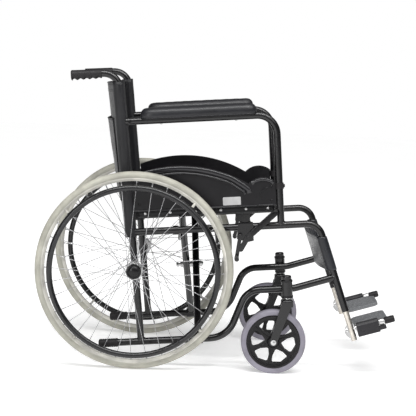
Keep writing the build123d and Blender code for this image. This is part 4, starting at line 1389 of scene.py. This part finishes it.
def camera():
    """The camera at the photograph's angle, level with the armrests and a little above."""
    distance = 4.736
    yaw, pitch, roll = radians(-0.15), radians(6.05), radians(2.51)
    target = Vector((-0.036895, 0, 0.477))
    forward = Vector((sin(yaw) * cos(pitch), cos(yaw) * cos(pitch), -sin(pitch)))
    right = Vector((cos(yaw), -sin(yaw), 0))
    up = right.cross(forward)
    right, up = cos(roll) * right + sin(roll) * up, cos(roll) * up - sin(roll) * right
    data = bpy.data.cameras.new("Camera")
    data.sensor_width = 36
    data.lens = 126.3
    obj = bpy.data.objects.new("Camera", data)
    rotation = Matrix((right, up, -forward)).transposed().to_4x4()
    obj.matrix_world = Matrix.Translation(target - forward * distance) @ rotation
    SCENE.collection.objects.link(obj)
    SCENE.camera = obj


WORLD_LIGHT = 0.16
SUN_LIGHT = 2.1
FLOOR_GLOW = 0.34


def area_light(name, place_at, aim, size, power):
    data = bpy.data.lights.new(name, "AREA")
    data.shape = "RECTANGLE"
    data.size, data.size_y = size
    data.energy = power
    obj = bpy.data.objects.new(name, data)
    obj.location = place_at
    obj.rotation_euler = (Vector(aim) - Vector(place_at)).to_track_quat("-Z", "Y").to_euler()
    SCENE.collection.objects.link(obj)


def studio():
    """A pale floor, a white surround, one wide sun and large soft lights."""
    world = bpy.data.worlds.new("Studio")
    world.use_nodes = True
    tree = world.node_tree
    background = tree.nodes["Background"]
    background.inputs["Color"].default_value = (1, 1, 1, 1)
    rays = tree.nodes.new("ShaderNodeLightPath")
    strength = tree.nodes.new("ShaderNodeMapRange")
    strength.inputs["To Min"].default_value = WORLD_LIGHT
    strength.inputs["To Max"].default_value = 1.0
    tree.links.new(rays.outputs["Is Camera Ray"], strength.inputs["Value"])
    tree.links.new(strength.outputs["Result"], background.inputs["Strength"])
    SCENE.world = world
    SCENE.view_settings.view_transform = "Standard"

    bm = bmesh.new()
    bmesh.ops.create_circle(bm, cap_ends=True, segments=96, radius=14)
    mesh = bpy.data.meshes.new("Floor")
    bm.to_mesh(mesh)
    bm.free()
    floor = bpy.data.objects.new("Floor", mesh)
    SCENE.collection.objects.link(floor)
    nodes = Nodes("floor", "rim_grey")
    nodes.colours(nodes.noise(2), (0.93, 0.93, 0.93), (0.95, 0.95, 0.95))
    nodes.rough(nodes.noise(30), 0.75, 0.85)
    nodes.set(Emission_Color=(1, 1, 1, 1), Emission_Strength=FLOOR_GLOW)
    mesh.materials.append(nodes.material)

    sun = bpy.data.lights.new("Sun", "SUN")
    sun.energy = SUN_LIGHT
    sun.angle = radians(75)
    obj = bpy.data.objects.new("Sun", sun)
    obj.rotation_euler = Vector((0.25, -0.55, 1.0)).to_track_quat("Z", "Y").to_euler()
    SCENE.collection.objects.link(obj)
    area_light("Top", (0.1, -1.5, 3.0), (0, 0, 0.5), (3.2, 0.3), 60)
    area_light("Side", (-2.0, -3.6, 1.5), (0, 0, 0.5), (0.3, 2.4), 40)


def main():
    camera()
    finish_cad_nodes()
    pad_source = arm_pad_mesh()
    for side in SIDES:
        tyre_piece(side)
        spoke_fittings(side)
        hub_pieces(side)
        handrim_fittings(side)
        caster_pieces(side)
        frame_welds(side)
        frame_fasteners(side)
        rail_tip_piece(side)
        push_grip_piece(side)
        arm_pad_pieces(side, pad_source)
        guard_pieces(side)
        brake_pieces(side)
        footplate_pieces(side)
    pad_source.free()
    seat_pieces()
    back_pieces()
    calf_pieces()
    brace_pieces()
    studio()


main()
